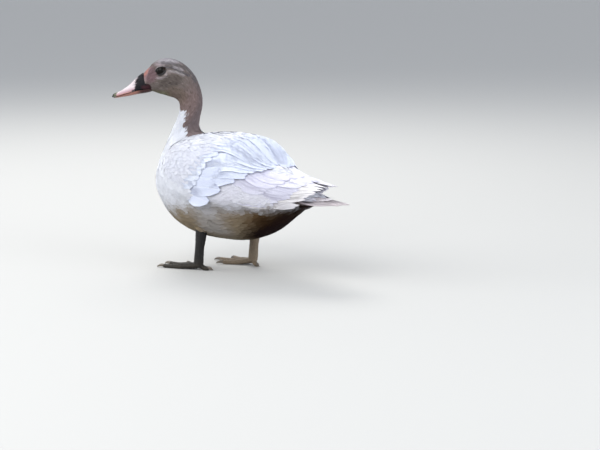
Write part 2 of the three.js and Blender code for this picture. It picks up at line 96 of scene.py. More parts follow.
# %% Stations of the body
STATIONS = {  # back x, z, belly x, z, half width, height of the widest place
    "tail root": (-150, 113, -150, 113, 0, 0.5),
    "vent": (-141, 124, -143, 98, 21, 0.55),
    "rump": (-118, 139, -117, 78, 37, 0.55),
    "rear belly": (-88, 156, -84, 56, 51, 0.53),
    "loin": (-52, 172, -46, 44, 62, 0.51),
    "middle": (-14, 182, -8, 42, 68, 0.5),
    "shoulders": (18, 185, 26, 44, 69, 0.5),
    "keel": (38, 185, 61, 53.5, 66, 0.5),
    "low breast": (45, 186, 89, 72, 57, 0.49),
    "breast": (50.5, 187, 107.5, 97, 48.5, 0.45),
    "crop": (55.5, 190.5, 110, 128, 37, 0.43),
    "neck root": (56.5, 197, 103, 161, 26, 0.44),
    "low neck": (53, 207.5, 93, 187, 20.8, 0.48),
    "neck": (49, 221, 84, 207, 18.8, 0.5),
    "high neck": (48.5, 233, 80.5, 221.5, 18, 0.5),
    "nape": (52, 249, 82, 229, 18.3, 0.5),
    "back of head": (59.5, 266, 87, 233.5, 20.3, 0.5),
    "crown": (73.5, 280.8, 95, 236, 22.3, 0.47),
    "top of head": (91, 289, 101, 238, 23.2, 0.45),
    "eyes": (107.5, 288.4, 109, 240, 21.6, 0.44),
    "brow": (118.5, 282, 116, 242.5, 17.8, 0.42),
    "forehead": (126, 275.2, 122, 244, 14.4, 0.4),
    "bill root": (131.5, 268.5, 127, 244.5, 11.8, 0.42),
    "face": (131, 258, 131, 258, 0, 0.5),
}
NAMES = list(STATIONS)


def share_of(name):
    return NAMES.index(name) / (len(NAMES) - 1)


def curve_through(points):
    """A smooth curve through points: a function from a share of its length to a point."""
    points = np.array(points, float)
    ends = np.vstack([2 * points[0] - points[1], points, 2 * points[-1] - points[-2]])
    gaps = np.sum(np.diff(ends, axis=0) ** 2, axis=1) ** 0.25
    gaps[gaps < 1e-4] = 1

    def at(share):
        place = np.clip(share, 0, 1) * (len(points) - 1)
        i = np.minimum(place.astype(int), len(points) - 2)
        w = (place - i)[..., None]
        x0, x1, x2, x3 = (ends[i + k] for k in range(4))
        d0, d1, d2 = (gaps[i + k][..., None] for k in range(3))
        leave = ((x1 - x0) / d0 - (x2 - x0) / (d0 + d1) + (x2 - x1) / d1) * d1
        arrive = ((x2 - x1) / d1 - (x3 - x1) / (d1 + d2) + (x3 - x2) / d2) * d1
        bend = (-3 * x1 + 3 * x2 - 2 * leave - arrive) * w**2
        return x1 + leave * w + bend + (2 * x1 - 2 * x2 + leave + arrive) * w**3

    return at


back_line = curve_through([row[0:2] for row in STATIONS.values()])
belly_line = curve_through([row[2:4] for row in STATIONS.values()])
girth = curve_through([row[4:6] for row in STATIONS.values()])

HEAD_TURN = 36  # degrees to the bird's left
NECK_AXIS = 66  # the upright line that the neck turns about


def turned(points, degrees=HEAD_TURN):
    a = np.radians(degrees)
    x, y, z = points[..., 0] - NECK_AXIS, points[..., 1], points[..., 2]
    return np.stack([NECK_AXIS + x * np.cos(a) - y * np.sin(a), x * np.sin(a) + y * np.cos(a), z], -1)


def straight_body(share, angle):
    """The body's surface with the neck straight. Angles are in degrees, 90 on the back, 0 on the left."""
    top, bottom, width = back_line(share), belly_line(share), girth(share)
    axis = top - bottom
    depth = np.linalg.norm(axis, axis=-1)
    up = axis / np.maximum(depth, 1e-9)[..., None]
    rise = np.sin(np.radians(angle))
    reach = np.where(rise > 0, 1 - width[..., 1], width[..., 1]) * depth
    middle = bottom + up * (width[..., 1] * depth + rise * reach)[..., None]
    return np.stack([middle[..., 0], np.cos(np.radians(angle)) * width[..., 0], middle[..., 1]], -1)


def body_rule(share, angle):
    twist = smooth(share, share_of("crop"), share_of("nape"))
    return turned(straight_body(share, angle), HEAD_TURN * twist)


print(len(STATIONS), "stations; the crown is at", body_rule(np.array([share_of("top of head")]), np.array([90.0])))

# %% [markdown]
# The markings are painted by rule, once for skin and feathers, so that both carry the same pattern. The
# young bird is white with a grey head and hind neck, a dark band from eye to nape, and a belly that runs
# from beige to dark brown under the tail; that dark brown is partly painted shade. Painted shade also greys
# the white low on the side, and the pale crown carries a painted highlight. Each mark is a colour and a
# share from 0 to 1 of how much it covers, laid over the marks before it. Waves of several lengths make the
# borders uneven.

# %% Colours


def linear(red, green, blue):
    """A screen colour, 0 to 255, as the light values that the shaders use."""
    c = np.array([red, green, blue]) / 255
    return np.where(c <= 0.04045, c / 12.92, ((c + 0.055) / 1.055) ** 2.4)


# The second white is greyed as painted shade, for the low side of the body and for the bed under the wing feathers.
WHITE, PAINTED_SHADE_WHITE, LILAC = linear(238, 241, 251), linear(222, 223, 230), linear(242, 241, 255)
GREY_BEIGE, BEIGE = linear(172, 165, 160), linear(140, 122, 96)
# DARK_BROWN is the soiled brown of the vent, made darker still as painted shade under the tail.
BROWN, DARK_BROWN = linear(92, 68, 42), linear(28, 11, 3)
HEAD_GREY, NECK_GREY, STRIPE = linear(118, 107, 103), linear(127, 109, 106), linear(98, 94, 98)
CROWN_PALE, LORE, CHIN = linear(172, 167, 174), linear(119, 96, 100), linear(122, 120, 92)
FOREHEAD_SKIN, GAPE = linear(134, 94, 88), linear(44, 20, 26)


def waves(points, size, seed):
    """Smooth uneven values, about -1 to 1, that change over the given size in millimetres."""
    draw = np.random.default_rng(seed)
    total = 0
    for _ in range(7):
        turn = unit(draw.normal(size=3)) * draw.uniform(0.6, 1.7) * 2 * np.pi / size
        total = total + np.sin(points @ turn + draw.uniform(0, 6.28))
    return total / 2.6


def blend(base, colour, share):
    return base + (colour - base) * np.clip(share, 0, 1)[..., None]


def layered(colour, *layers):
    """Colours laid one over another; each layer is (colour, share)."""
    for shade, share in layers:
        colour = blend(colour, shade, share)
    return colour


def blob(x, z, centre, size, tilt=0.0):
    """1 in the middle of a slanted oval, 0 outside it."""
    a = math.radians(tilt)
    dx, dz = x - centre[0], z - centre[1]
    along, across = dx * math.cos(a) + dz * math.sin(a), dz * math.cos(a) - dx * math.sin(a)
    return smooth((along / size[0]) ** 2 + (across / size[1]) ** 2, 1.5, 0.35)


def streak(x, z, line, width):
    """1 along a line of points, 0 beyond its width"""
    place, nearest = np.stack([x, z], -1), np.inf
    for a, b in zip(np.array(line, float), np.array(line[1:], float)):
        share = np.clip(dot(place - a, b - a) / dot(b - a, b - a), 0, 1)
        nearest = np.minimum(nearest, np.linalg.norm(place - a - share[..., None] * (b - a), axis=-1))
    return smooth(nearest / width, 1.4, 0.3)


print("the grey of the head is", HEAD_GREY)

# %% Markings of the bird
EYE = np.array([104.0, 15.0, 272.8])
BELLY_X, BELLY_Z = [-110, -60, -20, 20, 50], [97, 98, 98, 92, 85]  # where white ends on the side
VENT_X, VENT_Z = [-150, -141, -129, -105, -87, -64, -46, -20], [116, 106, 97, 85, 75, 58, 44, 22]
HOOD_SHARE = [0.304, 0.314, 0.33, 0.38, 0.438, 0.48, 0.507, 0.55, 0.575, 0.588, 0.6, 0.615]
HOOD_WIDTH = [0, 6, 22, 25, 29, 46, 62, 72, 96, 138, 165, 190]  # degrees of grey from the back of the neck
CROWN_BAND = [(-1, 10.9), (-12, 10.6), (-22, 7.9), (-35, 2.8), (-43, -4.4), (-47, -14)]  # all from the eye
EYE_BAND = [(-7.6, 5.4), (-15.6, 5.2), (-25, 0), (-38, -6.3)]
UPPER_PALE, LOWER_PALE = [(-18, 6.2), (-30, 0.6)], [(-7, -3.6), (-12, 0.6), (-22, -1.4), (-32, -6)]


def gape_share(x, y, z):
    """1 on the dark red skin at the corner of the mouth"""
    return smooth(y, 4, 7) * smooth(np.hypot((x - 125.5) / 6.6, (z - 249.3) / 5.4), 1.15, 0.8)


def paint(share, angle, points):
    """The plumage colour at places of the body; points are on the straight body."""
    x, y, z = points[..., 0], np.abs(points[..., 1]), points[..., 2]
    uneven = waves(points, 26, 3) + 0.5 * waves(points, 9, 4)
    line = np.interp(x, BELLY_X, BELLY_Z) + 3 * uneven
    edge = np.interp(x, VENT_X, VENT_Z) + 1.6 * uneven
    under = smooth(z, line + 7, line - 18)
    body_colour = layered(
        WHITE,
        (LILAC, 0.8 * smooth(x, 10, -60) * smooth(z, 160, 128)),
        # Painted shade: the white greys in a band above the belly line, low on the side where the body turns under.
        (PAINTED_SHADE_WHITE, 0.5 * smooth(z, line + 24, line)),
        (GREY_BEIGE, under),
        (BEIGE, 0.9 * under * np.maximum(smooth(x, -12, 12), smooth(x, -30, -62))),
        (BEIGE * 0.8, 0.8 * under * smooth(z, 62, 48)),
        (BROWN, under * smooth(x, -58, -100)),
        # Under the tail this dark brown is partly painted shade.
        (DARK_BROWN, smooth(z, edge + 11, edge - 13)),
    )
    lean = np.abs(((np.asarray(angle) + 90) % 360) - 180)  # 0 on the back, 180 on the throat
    border = np.interp(share, HOOD_SHARE, HOOD_WIDTH) + 7 * waves(points, 13, 5) + 3 * waves(points, 5, 6)
    hood = smooth(border - lean, -4, 5) * smooth(share, 0.296, 0.312)
    fx, fz, side = x - EYE[0], z - EYE[2], smooth(y, 4, 9)
    ring = np.hypot(fx / 1.25, fz)
    bare = smooth(x + 0.25 * (z - 260) + 0.8 * waves(points, 4, 12), 126.2, 128.8) * smooth(z - 0.5 * y, 256, 264)

    def oval(centre, size, tilt=0.0):
        return side * blob(fx, fz, centre, size, tilt)

    head_colour = layered(
        NECK_GREY,
        (HEAD_GREY, smooth(share, 0.62, 0.72)),
        # The pale crown is partly the crown's paler feathers and partly a painted highlight on top of the head.
        (CROWN_PALE, 0.9 * smooth(fz, 7, 14) * smooth(fx, -44, -16) * (1 - 0.7 * smooth(fx, 2, 16))),
        (STRIPE, 0.5 * smooth(y, 5, 2) * smooth(fx, 0, -16) * smooth(fz, -20, 8)),
        (STRIPE, 0.62 * streak(fx, fz, CROWN_BAND, 2.9)),
        (STRIPE * 0.9, 0.85 * side * streak(fx, fz, EYE_BAND, 2.0)),
        (linear(158, 152, 156), 0.7 * side * streak(fx, fz, UPPER_PALE, 1.6)),
        (linear(154, 147, 148), 0.8 * side * streak(fx, fz, LOWER_PALE, 1.7)),
        (STRIPE, 0.4 * smooth(lean, 55, 20) * smooth(share, 0.76, 0.66)),
        (linear(160, 150, 155),
         0.75 * side * smooth(0.3 * fx - fz, -2, 4) * blob(ring, ring, (9.6, 9.6), (2.4, 2.4))),
        (linear(158, 144, 150), 0.7 * oval((3, 8.6), (9, 2.2), 10)),
        (LORE, oval((16, -5), (12, 12))),
        (linear(88, 80, 76), 0.75 * oval((-14, -14), (17, 9), -10)),
        (CHIN, 0.8 * smooth(z, 249, 240) * smooth(x, 84, 100)),
        (linear(112, 96, 84), 0.6 * oval((-22, -34), (16, 12), 30)),
        (FOREHEAD_SKIN, bare),
        (linear(84, 46, 48), 0.8 * bare * smooth(z - 0.4 * y, 264, 256)),
        (GAPE, gape_share(x, y, z)),
    )
    head_colour = head_colour * (1 + 0.12 * waves(points, 6, 8) + 0.06 * waves(points, 2.6, 9))[..., None]
    return np.clip(blend(body_colour, head_colour, hood), 0.004, 1)


print("the markings are painted round the eye at", EYE)

# %% [markdown]
# A piece is made from a Blender primitive that is moulded: every corner of a ball or grid is moved to its
# place on a rule's surface. That keeps the primitive's clean loops. Small helpers make the object, keep
# it selected alone, and store values such as a tint on its corners.

# %% Helpers for pieces
SIDES = {1: "left", -1: "right"}


def alone(obj=None):
    """Nothing is selected but this object."""
    bpy.ops.object.select_all(action="DESELECT")
    if obj is not None:
        obj.select_set(True)
        bpy.context.view_layer.objects.active = obj
    return obj


def coordinates(obj):
    values = np.empty(len(obj.data.vertices) * 3)
    obj.data.vertices.foreach_get("co", values)
    return values.reshape(-1, 3)


def measured(obj):
    """The corners in millimetres"""
    return (coordinates(obj) - SHIFT) / MM


def put(obj, points):
    """Moves the corners to points in millimetres."""
    obj.data.vertices.foreach_set("co", to_frame(points).ravel())
    obj.data.update()


def ball(segments, rings):
    alone()
    bpy.ops.mesh.primitive_uv_sphere_add(segments=segments, ring_count=rings, radius=1)
    return bpy.context.object


def grid(columns, rows):
    """A grid of corners from -1 to 1"""
    alone()
    bpy.ops.mesh.primitive_grid_add(x_subdivisions=columns, y_subdivisions=rows, size=2)
    return bpy.context.object


def outwards(obj):
    alone(obj)
    bpy.ops.object.mode_set(mode="EDIT")
    bpy.ops.mesh.select_all(action="SELECT")
    bpy.ops.mesh.normals_make_consistent(inside=False)
    bpy.ops.object.mode_set(mode="OBJECT")


def moulded_ball(segments, rings, rule):
    """A ball moulded to rule(share, angle), in millimetres; its poles close the form."""
    obj = ball(segments, rings)
    p = coordinates(obj)
    share = np.arccos(np.clip(p[:, 2], -1, 1)) / np.pi
    angle = np.degrees(np.arctan2(p[:, 1], p[:, 0]))
    pole = np.hypot(p[:, 0], p[:, 1]) < 1e-5
    ends = (rule(share, np.full_like(angle, 90.0)) + rule(share, np.full_like(angle, -90.0))) / 2
    put(obj, np.where(pole[:, None], ends, rule(share, angle)))
    outwards(obj)
    return obj


def modified(obj, kind, **settings):
    """Adds a modifier and applies it."""
    alone(obj)
    modifier = obj.modifiers.new(kind.title(), kind)
    for key, value in settings.items():
        setattr(modifier, key, value)
    bpy.ops.object.modifier_apply(modifier=modifier.name)


def joined(objects):
    alone(objects[0])
    for obj in objects[1:]:
        obj.select_set(True)
    bpy.ops.object.join()
    return objects[0]


def shaded_smooth(obj):
    alone(obj)
    bpy.ops.object.shade_smooth()
    return obj


def tinted(obj, colours):
    layer = obj.data.color_attributes.new("Tint", "FLOAT_COLOR", "POINT")
    full = np.ones((len(obj.data.vertices), 4))
    full[:, :3] = colours
    layer.data.foreach_set("color", full.ravel())


def kept(name, obj, finish, slot, *nodes):
    """Gives a finished piece its name, material and body, and hides the CAD parts that it stands for."""
    obj.name = name
    obj.data.materials.clear()
    obj.data.materials.append(finish.material)
    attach(obj, "root")
    if nodes:
        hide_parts(*nodes)
    print(name, sum(len(face.vertices) - 2 for face in obj.data.polygons), "triangles")


# %% [markdown]
# Shader maths reads better as ordinary arithmetic. A small class wraps a socket and turns each operator
# into a Math node. Colours go through Mix nodes, and every other node comes from one method.

# %% Arithmetic on sockets


class Wire:
    """A socket of a material's nodes; +, - and * add Math nodes."""

    def __init__(self, finish, socket):
        self.finish, self.socket = finish, socket

    def maths(self, operation, *values):
        inputs = dict(enumerate((self, *values)))
        return self.finish.node("ShaderNodeMath", {"operation": operation}, inputs)[0]

    def __add__(self, other):
        return self.maths("ADD", other)

    def __mul__(self, other):
        return self.maths("MULTIPLY", other)

    def __sub__(self, other):
        return self.maths("SUBTRACT", other)

    def __rsub__(self, other):
        return self * -1 + other

    __radd__, __rmul__ = __add__, __mul__

    def ramp(self, *stops):
        """A colour that changes at each stop, given as (place, colour)."""
        return self.finish.node("ShaderNodeValToRGB", {"stops": stops}, {"Fac": self})["Color"]

    def between(self, low, high):
        """0 below low, 1 above high, smooth between them."""
        inputs = {"Value": self, "From Min": low, "From Max": high}
        return self.finish.node("ShaderNodeMapRange", {"interpolation_type": "SMOOTHSTEP"}, inputs)["Result"]


# %% A finish


class Finish:
    """A material with its Principled shader."""

    def __init__(self, name, **constants):
        self.material = bpy.data.materials.new(name)
        self.material.use_nodes = True
        self.tree = self.material.node_tree
        self.shader = self.tree.nodes["Principled BSDF"]
        for key, value in constants.items():
            self.shader.inputs[key.replace("_", " ")].default_value = value

    def link(self, socket, value):
        if isinstance(value, Wire):
            self.tree.links.new(value.socket, socket)
        else:
            socket.default_value = value

    def node(self, kind, settings=None, inputs=None):
        node = self.tree.nodes.new(kind)
        for key, value in (settings or {}).items():
            if key == "stops":
                ramp = node.color_ramp
                while len(ramp.elements) < len(value):
                    ramp.elements.new(1.0)
                for element, (place, colour) in zip(ramp.elements, value):
                    element.position, element.color = place, (*colour, 1)
            else:
                setattr(node, key, value)
        for key, value in (inputs or {}).items():
            self.link(node.inputs[key], value)
        return {key: Wire(self, s) for key, s in [*enumerate(node.outputs), *node.outputs.items()]}

    def mix(self, factor, a, b, blend_type="MIX"):
        a, b = (value if isinstance(value, Wire) else (*value, 1) for value in (a, b))
        settings = {"data_type": "RGBA", "blend_type": blend_type}
        return self.node("ShaderNodeMix", settings, {0: factor, 6: a, 7: b})[2]

    def shaded(self, colour, tone):
        """A colour made darker or lighter by one number"""
        grey = self.node("ShaderNodeCombineColor", None, dict.fromkeys(("Red", "Green", "Blue"), tone))["Color"]
        return self.mix(1.0, colour, grey, "MULTIPLY")

    def tint(self):
        return self.node("ShaderNodeAttribute", {"attribute_name": "Tint"})["Color"]

    def own_map(self, name):
        return self.parts(self.node("ShaderNodeUVMap", {"uv_map": name})["UV"])

    def place(self):
        return self.node("ShaderNodeTexCoord")["Object"]

    def parts(self, vector):
        return self.node("ShaderNodeSeparateXYZ", None, {"Vector": vector})

    def noise(self, scale, detail=2.0):
        return self.node("ShaderNodeTexNoise", None, {"Scale": scale, "Detail": detail, "Vector": self.place()})[0]

    def cells(self, scale, feature="F1"):
        inputs = {"Scale": scale, "Vector": self.place()}
        return self.node("ShaderNodeTexVoronoi", {"feature": feature}, inputs)["Distance"]

    def bump(self, height, distance):
        inputs = {"Height": height, "Distance": distance, "Strength": 1.0}
        self.set("Normal", self.node("ShaderNodeBump", None, inputs)["Normal"])

    def set(self, name, value):
        self.link(self.shader.inputs[name], value)


# %% [markdown]
# A real feather takes light softly and shines little, and its vane is made of fine slanting barbs on both
# sides of a shaft. Each feather brings its own map, so lines can be drawn along and across it.

# %% Plumage


def plumage(name, barbs, shaft, rim=0.0):
    """Feather finish: the tint of each feather, its barbs and its shaft from the feather's own UV map."""
    finish = Finish(name, Roughness=0.9, Specular_IOR_Level=0.06, Subsurface_Weight=0.5,
                    Subsurface_Scale=0.005, Subsurface_Radius=(1.0, 0.95, 0.95))
    uv = finish.own_map("feather")
    off = (uv["X"] - 0.5).maths("ABSOLUTE")
    lines = (uv["Y"] * barbs - off * (barbs * 0.55)).maths("SINE") * 0.5 + 0.5
    ridge = 1 - off.between(0.0, 0.04)
    mottle = finish.noise(900.0)
    tone = lines * 0.07 + mottle * 0.12 + 0.86 + off.between(0.28, 0.5) * rim
    finish.set("Base Color", finish.mix(ridge * shaft, finish.shaded(finish.tint(), tone), (0.86, 0.84, 0.82)))
    finish.bump(lines * 0.5 + ridge * 0.8 + mottle * 0.3, 0.00018)
    return finish


body_finish = plumage("body_plumage", 260, 0.0)
wing_finish = plumage("wing_plumage", 420, 0.14, rim=0.05)
tail_finish = plumage("tail_plumage", 420, 0.2, rim=0.12)
head_finish = plumage("head_plumage", 60, 0.0)
print("plumage finishes ready")

# %% [markdown]
# Skin and feathers both follow surfaces that a rule of two numbers gives. A sheet adds what is needed to
# grow on such a surface: which way is out, and how both numbers change along a small step.

# %% Sheets


class Sheet:
    """A surface that feathers lie on: a rule of two numbers, with its normal and slopes."""

    def __init__(self, rule, step, inside=None):
        self.rule, self.step, self.inside = rule, step, inside

    def slopes(self, u, v):
        du, dv = self.step
        return (
            (self.rule(u + du, v) - self.rule(u - du, v)) / (2 * du),
            (self.rule(u, v + dv) - self.rule(u, v - dv)) / (2 * dv),
        )

    def frame(self, u, v):
        """The place, the way out and both slopes"""
        point = self.rule(u, v)
        by_u, by_v = self.slopes(u, v)
        normal = unit(np.cross(by_u, by_v))
        centre = (point + self.rule(u, v + 180)) / 2 if self.inside is None else np.array(self.inside, float)
        flip = np.sign(dot(normal, point - centre))
        return point, normal * np.where(flip == 0, 1, flip)[..., None], by_u, by_v

    def moved(self, u, v, step):
        """The change of both numbers that makes a small step along the surface."""
        by_u, by_v = self.slopes(u, v)
        a, b, c = dot(by_u, by_u), dot(by_u, by_v), dot(by_v, by_v)
        p, q = dot(by_u, step), dot(by_v, step)
        det = np.maximum(a * c - b * b, 1e-9)
        return (c * p - b * q) / det, (a * q - b * p) / det


body = Sheet(body_rule, (0.002, 1.0))
print("the way out on the left of the middle is", body.frame(np.array([share_of("middle")]), np.array([0.0]))[1])

# %% [markdown]
# The skin lies under the coat: the same loft, drawn in by the depth of the feathers, with both thighs
# grown on by a Boolean so that no seam is left. It shows between the feathers and on the bare face.

# %% Skin
COAT_DEPTH = curve_through([
    (0, 2.2), (0.2, 2.4), (0.4, 2.0), (0.55, 1.6), (0.66, 1.3), (0.8, 1.1), (0.9, 1.0), (1, 0.9),
])


def coat_depth(share):
    return COAT_DEPTH(np.asarray(share, float))[..., 1]


def skin_rule(share, angle):
    _, normal, _, _ = body.frame(np.clip(share, 0.004, 0.996), np.asarray(angle, float))
    fade = smooth(share, 0, 0.02) * smooth(1 - share, 0, 0.01)
    return body_rule(share, angle) - normal * (coat_depth(share) * fade)[..., None]


FORWARD, UPWARD = np.array([1.0, 0, 0]), np.array([0, 0, 1.0])
HIP_SPREAD, STRIDE = 39, 16
FEET = {side: (STRIDE * side, HIP_SPREAD) for side in SIDES}
THIGH = (
    [(-20, -10, 112), (-14, -3, 84), (-8, -1, 66), (-5, -0.5, 54.5)],
    [(26, 16), (20, 12.5), (11.4, 9.2), (9.0, 7.8)],
)


def limb_rule(path, sizes, reference, side, less=0.0):
    """A limb of oval section along a path, from where its foot stands; side 1 is left and -1 right."""
    line = curve_through(np.array(path, float) + (*FEET[side], 0))
    width = curve_through(sizes)

    def rule(share, angle):
        share = np.asarray(share, float)
        point, ahead = line(share), line(np.minimum(share + 1e-3, 1)) - line(np.maximum(share - 1e-3, 0))
        ahead = unit(ahead)
        first = unit(reference - ahead * dot(ahead, reference)[..., None])
        second = np.cross(first, ahead)
        close = np.minimum(1, np.sqrt(np.maximum(np.minimum(share, 1 - share), 0) / 0.06))
        a, b = (np.maximum(width(share)[..., k] - less, 0.2) * close for k in (0, 1))
        r = np.radians(angle)
        out = point + first * (a * np.sin(r))[..., None] - second * (b * np.cos(r))[..., None]
        return out * (1, side, 1)

    return rule


skin = moulded_ball(96, 230, skin_rule)
for side in SIDES:
    thigh = moulded_ball(40, 40, limb_rule(*THIGH, FORWARD, side, less=1.8))
    modified(skin, "BOOLEAN", operation="UNION", object=thigh, solver="EXACT")
    bpy.data.objects.remove(thigh)
shaded_smooth(skin)

# %% [markdown]
# A corner of the skin only knows its place, so the nearest place of the loft is looked up, and its marking
# is taken. The skin's own finish is matt, with fine pores between the feathers.

# %% Markings on the skin
share_grid, angle_grid = (g.ravel() for g in np.meshgrid(np.linspace(0.002, 0.998, 300), np.arange(0, 360, 4.0)))
loft_points = body_rule(share_grid, angle_grid)
near = kdtree.KDTree(len(loft_points))
for i, point in enumerate(loft_points):
    near.insert(point, i)
near.balance()


def painted(points):
    """The markings at any points near the body."""
    found = np.array([near.find(p)[1] for p in points])
    s, a = share_grid[found], angle_grid[found]
    return paint(s, a, straight_body(s, a))


tinted(skin, painted(measured(skin)))
skin_finish = Finish("skin_and_down", Roughness=0.8, Specular_IOR_Level=0.15)
speck, pores = skin_finish.noise(1400.0, 3.0), skin_finish.cells(700.0)
skin_finish.set("Base Color", skin_finish.shaded(skin_finish.tint(), 1.06 - speck * 0.35))
skin_finish.bump(speck * 0.6 + pores * 0.5, 0.0006)
kept("skin", skin, skin_finish, "body_plumage", "torso", "neck", "head", "thigh_left", "thigh_right")


# %% [markdown]
# One feather is modelled once, as two grids of corners: its upper face, and a turned copy of it a little
# lower. The corners say how far across and how far along they are, and on which face. Every feather on
# the bird is a copy of them, bent along the surface where it grows; the rim between the faces is open.

# %% One feather, modelled once


def feather_template(columns, rungs):
    obj = grid(columns - 1, rungs - 1)
    bpy.ops.object.mode_set(mode="EDIT")
    bpy.ops.mesh.select_all(action="SELECT")
    bpy.ops.transform.translate(value=(0, 0, 1))
    bpy.ops.mesh.duplicate()
    bpy.ops.transform.resize(value=(1, 1, -1), center_override=(0, 0, 0))
    bpy.ops.mesh.flip_normals()
    bpy.ops.object.mode_set(mode="OBJECT")
    points = coordinates(obj)
    faces = np.array([list(face.vertices) for face in obj.data.polygons])
    bpy.data.objects.remove(obj)
    rung = np.rint((points[:, 1] + 1) / 2 * (rungs - 1)).astype(int)
    return {"x": points[:, 0], "rung": rung, "face": points[:, 2], "faces": faces, "rungs": rungs}


tuft, plume, covert, quill = (feather_template(*size) for size in ((3, 4), (5, 6), (7, 10), (7, 16)))
print("faces of one feather:", [len(t["faces"]) for t in (tuft, plume, covert, quill)])

# %% [markdown]
# Feathers are laid in one go with arrays. Each has a path over a sheet, from root to tip. At every rung
# the surface gives the middle, the way out and the curve across, and the template's corners are set round
# it. Roots lie deep and tips high, so that each feather covers the root of the next, as shingles do.

# %% Laying feathers
ROUND = ([0, 0.15, 0.4, 0.7, 0.88, 1], [0.45, 0.72, 0.96, 1.0, 0.8, 0.34])  # share of length, of width
POINTED = ([0, 0.2, 0.5, 0.8, 1], [0.7, 0.98, 1.0, 0.62, 0.12])
DOWNY = ([0, 0.2, 0.5, 0.8, 1], [0.5, 0.85, 1.0, 0.8, 0.3])
UNDERSIDE = -0.35  # height of a feather's lower face, where its upper one has 1
PATCH = 0.003  # side of a feather's patch on the OFBake map


def rung_shares(count):
    """Rungs stand closer towards the tip."""
    return 1 - (1 - np.linspace(0, 1, count)) ** 1.35


def lay(sheet, path, template, width, lift, shape, thick, colours, draw, chart, fray=0.06, tilt=0.0, bow=0.35):
    """Feathers along paths, an array of feathers x rungs x 2; chart is the place of their roots on the map."""
    u, v = path[..., 0], path[..., 1]
    middle, out, _, _ = sheet.frame(u, v)
    ahead = unit(np.gradient(middle, axis=1))
    across = unit(np.cross(out, ahead))
    out = np.cross(ahead, across)
    reach = 2.0
    du, dv = sheet.moved(u, v, across * reach)
    bend = dot(sheet.rule(u + du, v + dv) + sheet.rule(u - du, v - dv) - 2 * middle, out) / reach**2
    t = rung_shares(template["rungs"])
    k, x, face = template["rung"], template["x"], template["face"]
    half = width[:, None] / 2 * np.interp(t, *shape)[k]
    side = half * x
    length = np.linalg.norm(np.diff(middle, axis=1), axis=-1).sum(1)
    rough = draw.uniform(-1, 1, (len(u), 8))[:, np.rint((x + 1) * 3.49).astype(int)]
    slide = -bow * half * x**2 * smooth(t, 0, 0.9)[k] + fray * length[:, None] * rough * smooth(t, 0.45, 1)[k]
    raised = lerp(lift[:, 0, None], lift[:, 1, None], smooth(t, -0.3, 0.95)[k])
    vane = np.where(face > 0, 1.0, UNDERSIDE)
    height = raised + thick * vane + bend[:, k] / 2 * side**2
    height = height + np.tan(np.radians(np.asarray(tilt)))[..., None] * side
    points = middle[:, k] + across[:, k] * side[..., None]
    points = points + ahead[:, k] * slide[..., None] + out[:, k] * height[..., None]
    # Painted shade: each feather's tint darkens towards its root, where it lies under the feathers above it.
    tints = colours[:, None, :] * (0.93 + 0.07 * smooth(t, 0, 0.6)[k])[None, :, None]
    spread = np.stack([np.broadcast_to(0.5 + x / 2, side.shape), np.broadcast_to(t[k], side.shape)], -1)
    return template, points, spread, chart[:, None, :] + (spread - 0.5) * PATCH, tints


# %% One mesh of many feathers


def feather_piece(name, batches, finish, slot, *nodes):
    """Joins what lay gave."""
    rows, start = [], 0
    for template, points, spread, patch, tints in batches:
        n, corners = points.shape[:2]
        offsets = start + np.arange(n) * corners
        faces = template["faces"][None] + offsets[:, None, None]
        rows.append([array.reshape(-1, array.shape[-1]) for array in (points, faces, spread, patch, tints)])
        start += n * corners
    verts, faces, uv, bake, tint = map(np.concatenate, zip(*rows))
    mesh = bpy.data.meshes.new(name)
    mesh.vertices.add(len(verts))
    mesh.vertices.foreach_set("co", to_frame(verts).ravel())
    mesh.loops.add(faces.size)
    mesh.loops.foreach_set("vertex_index", faces.ravel())
    mesh.polygons.add(len(faces))
    mesh.polygons.foreach_set("loop_start", np.arange(0, faces.size, 4))
    mesh.polygons.foreach_set("use_smooth", np.ones(len(faces), bool))
    mesh.update(calc_edges=True)
    for layer, values in (("feather", uv), ("OFBake", bake)):
        mesh.uv_layers.new(name=layer).data.foreach_set("uv", values[faces.ravel()].ravel())
    mesh.validate()
    obj = bpy.data.objects.new(name, mesh)
    bpy.context.collection.objects.link(obj)
    tinted(obj, tint)
    kept(name, obj, finish, slot, *nodes)


print("a feather's patch on its map is", PATCH, "wide")

# %% [markdown]
# The roots are thrown like darts at the surface: one that lands too near another is taken away, which
# leaves them even but never in rows. From each root a path then marches over the sheet to the tip.

# %% Roots and paths


def march(sheet, roots, turn, length, rungs, flow=-1.0):
    """Paths that follow the sheet from their roots towards the tail; turn is the swing in degrees."""
    place, a = roots.copy(), np.radians(turn)
    path = [place]
    for step in np.diff(rung_shares(rungs)):
        for _ in range(2):
            u, v = place[:, 0], place[:, 1]
            _, normal, by_u, _ = sheet.frame(u, v)
            ahead = unit(by_u) * flow
            way = ahead * np.cos(a)[:, None] + np.cross(normal, ahead) * np.sin(a)[:, None]
            place = place + np.stack(sheet.moved(u, v, way * (length * step / 2)[:, None]), -1)
        path.append(place)
    return np.stack(path, 1)


def graded(start, end=None, low=0.0, high=1.0):
    """A size that goes from start to end as u goes from low to high."""
    return lambda u, v: lerp(start, start if end is None else end, smooth(u, low, high))


def everywhere(u, v, points):
    return np.ones(len(u), bool)


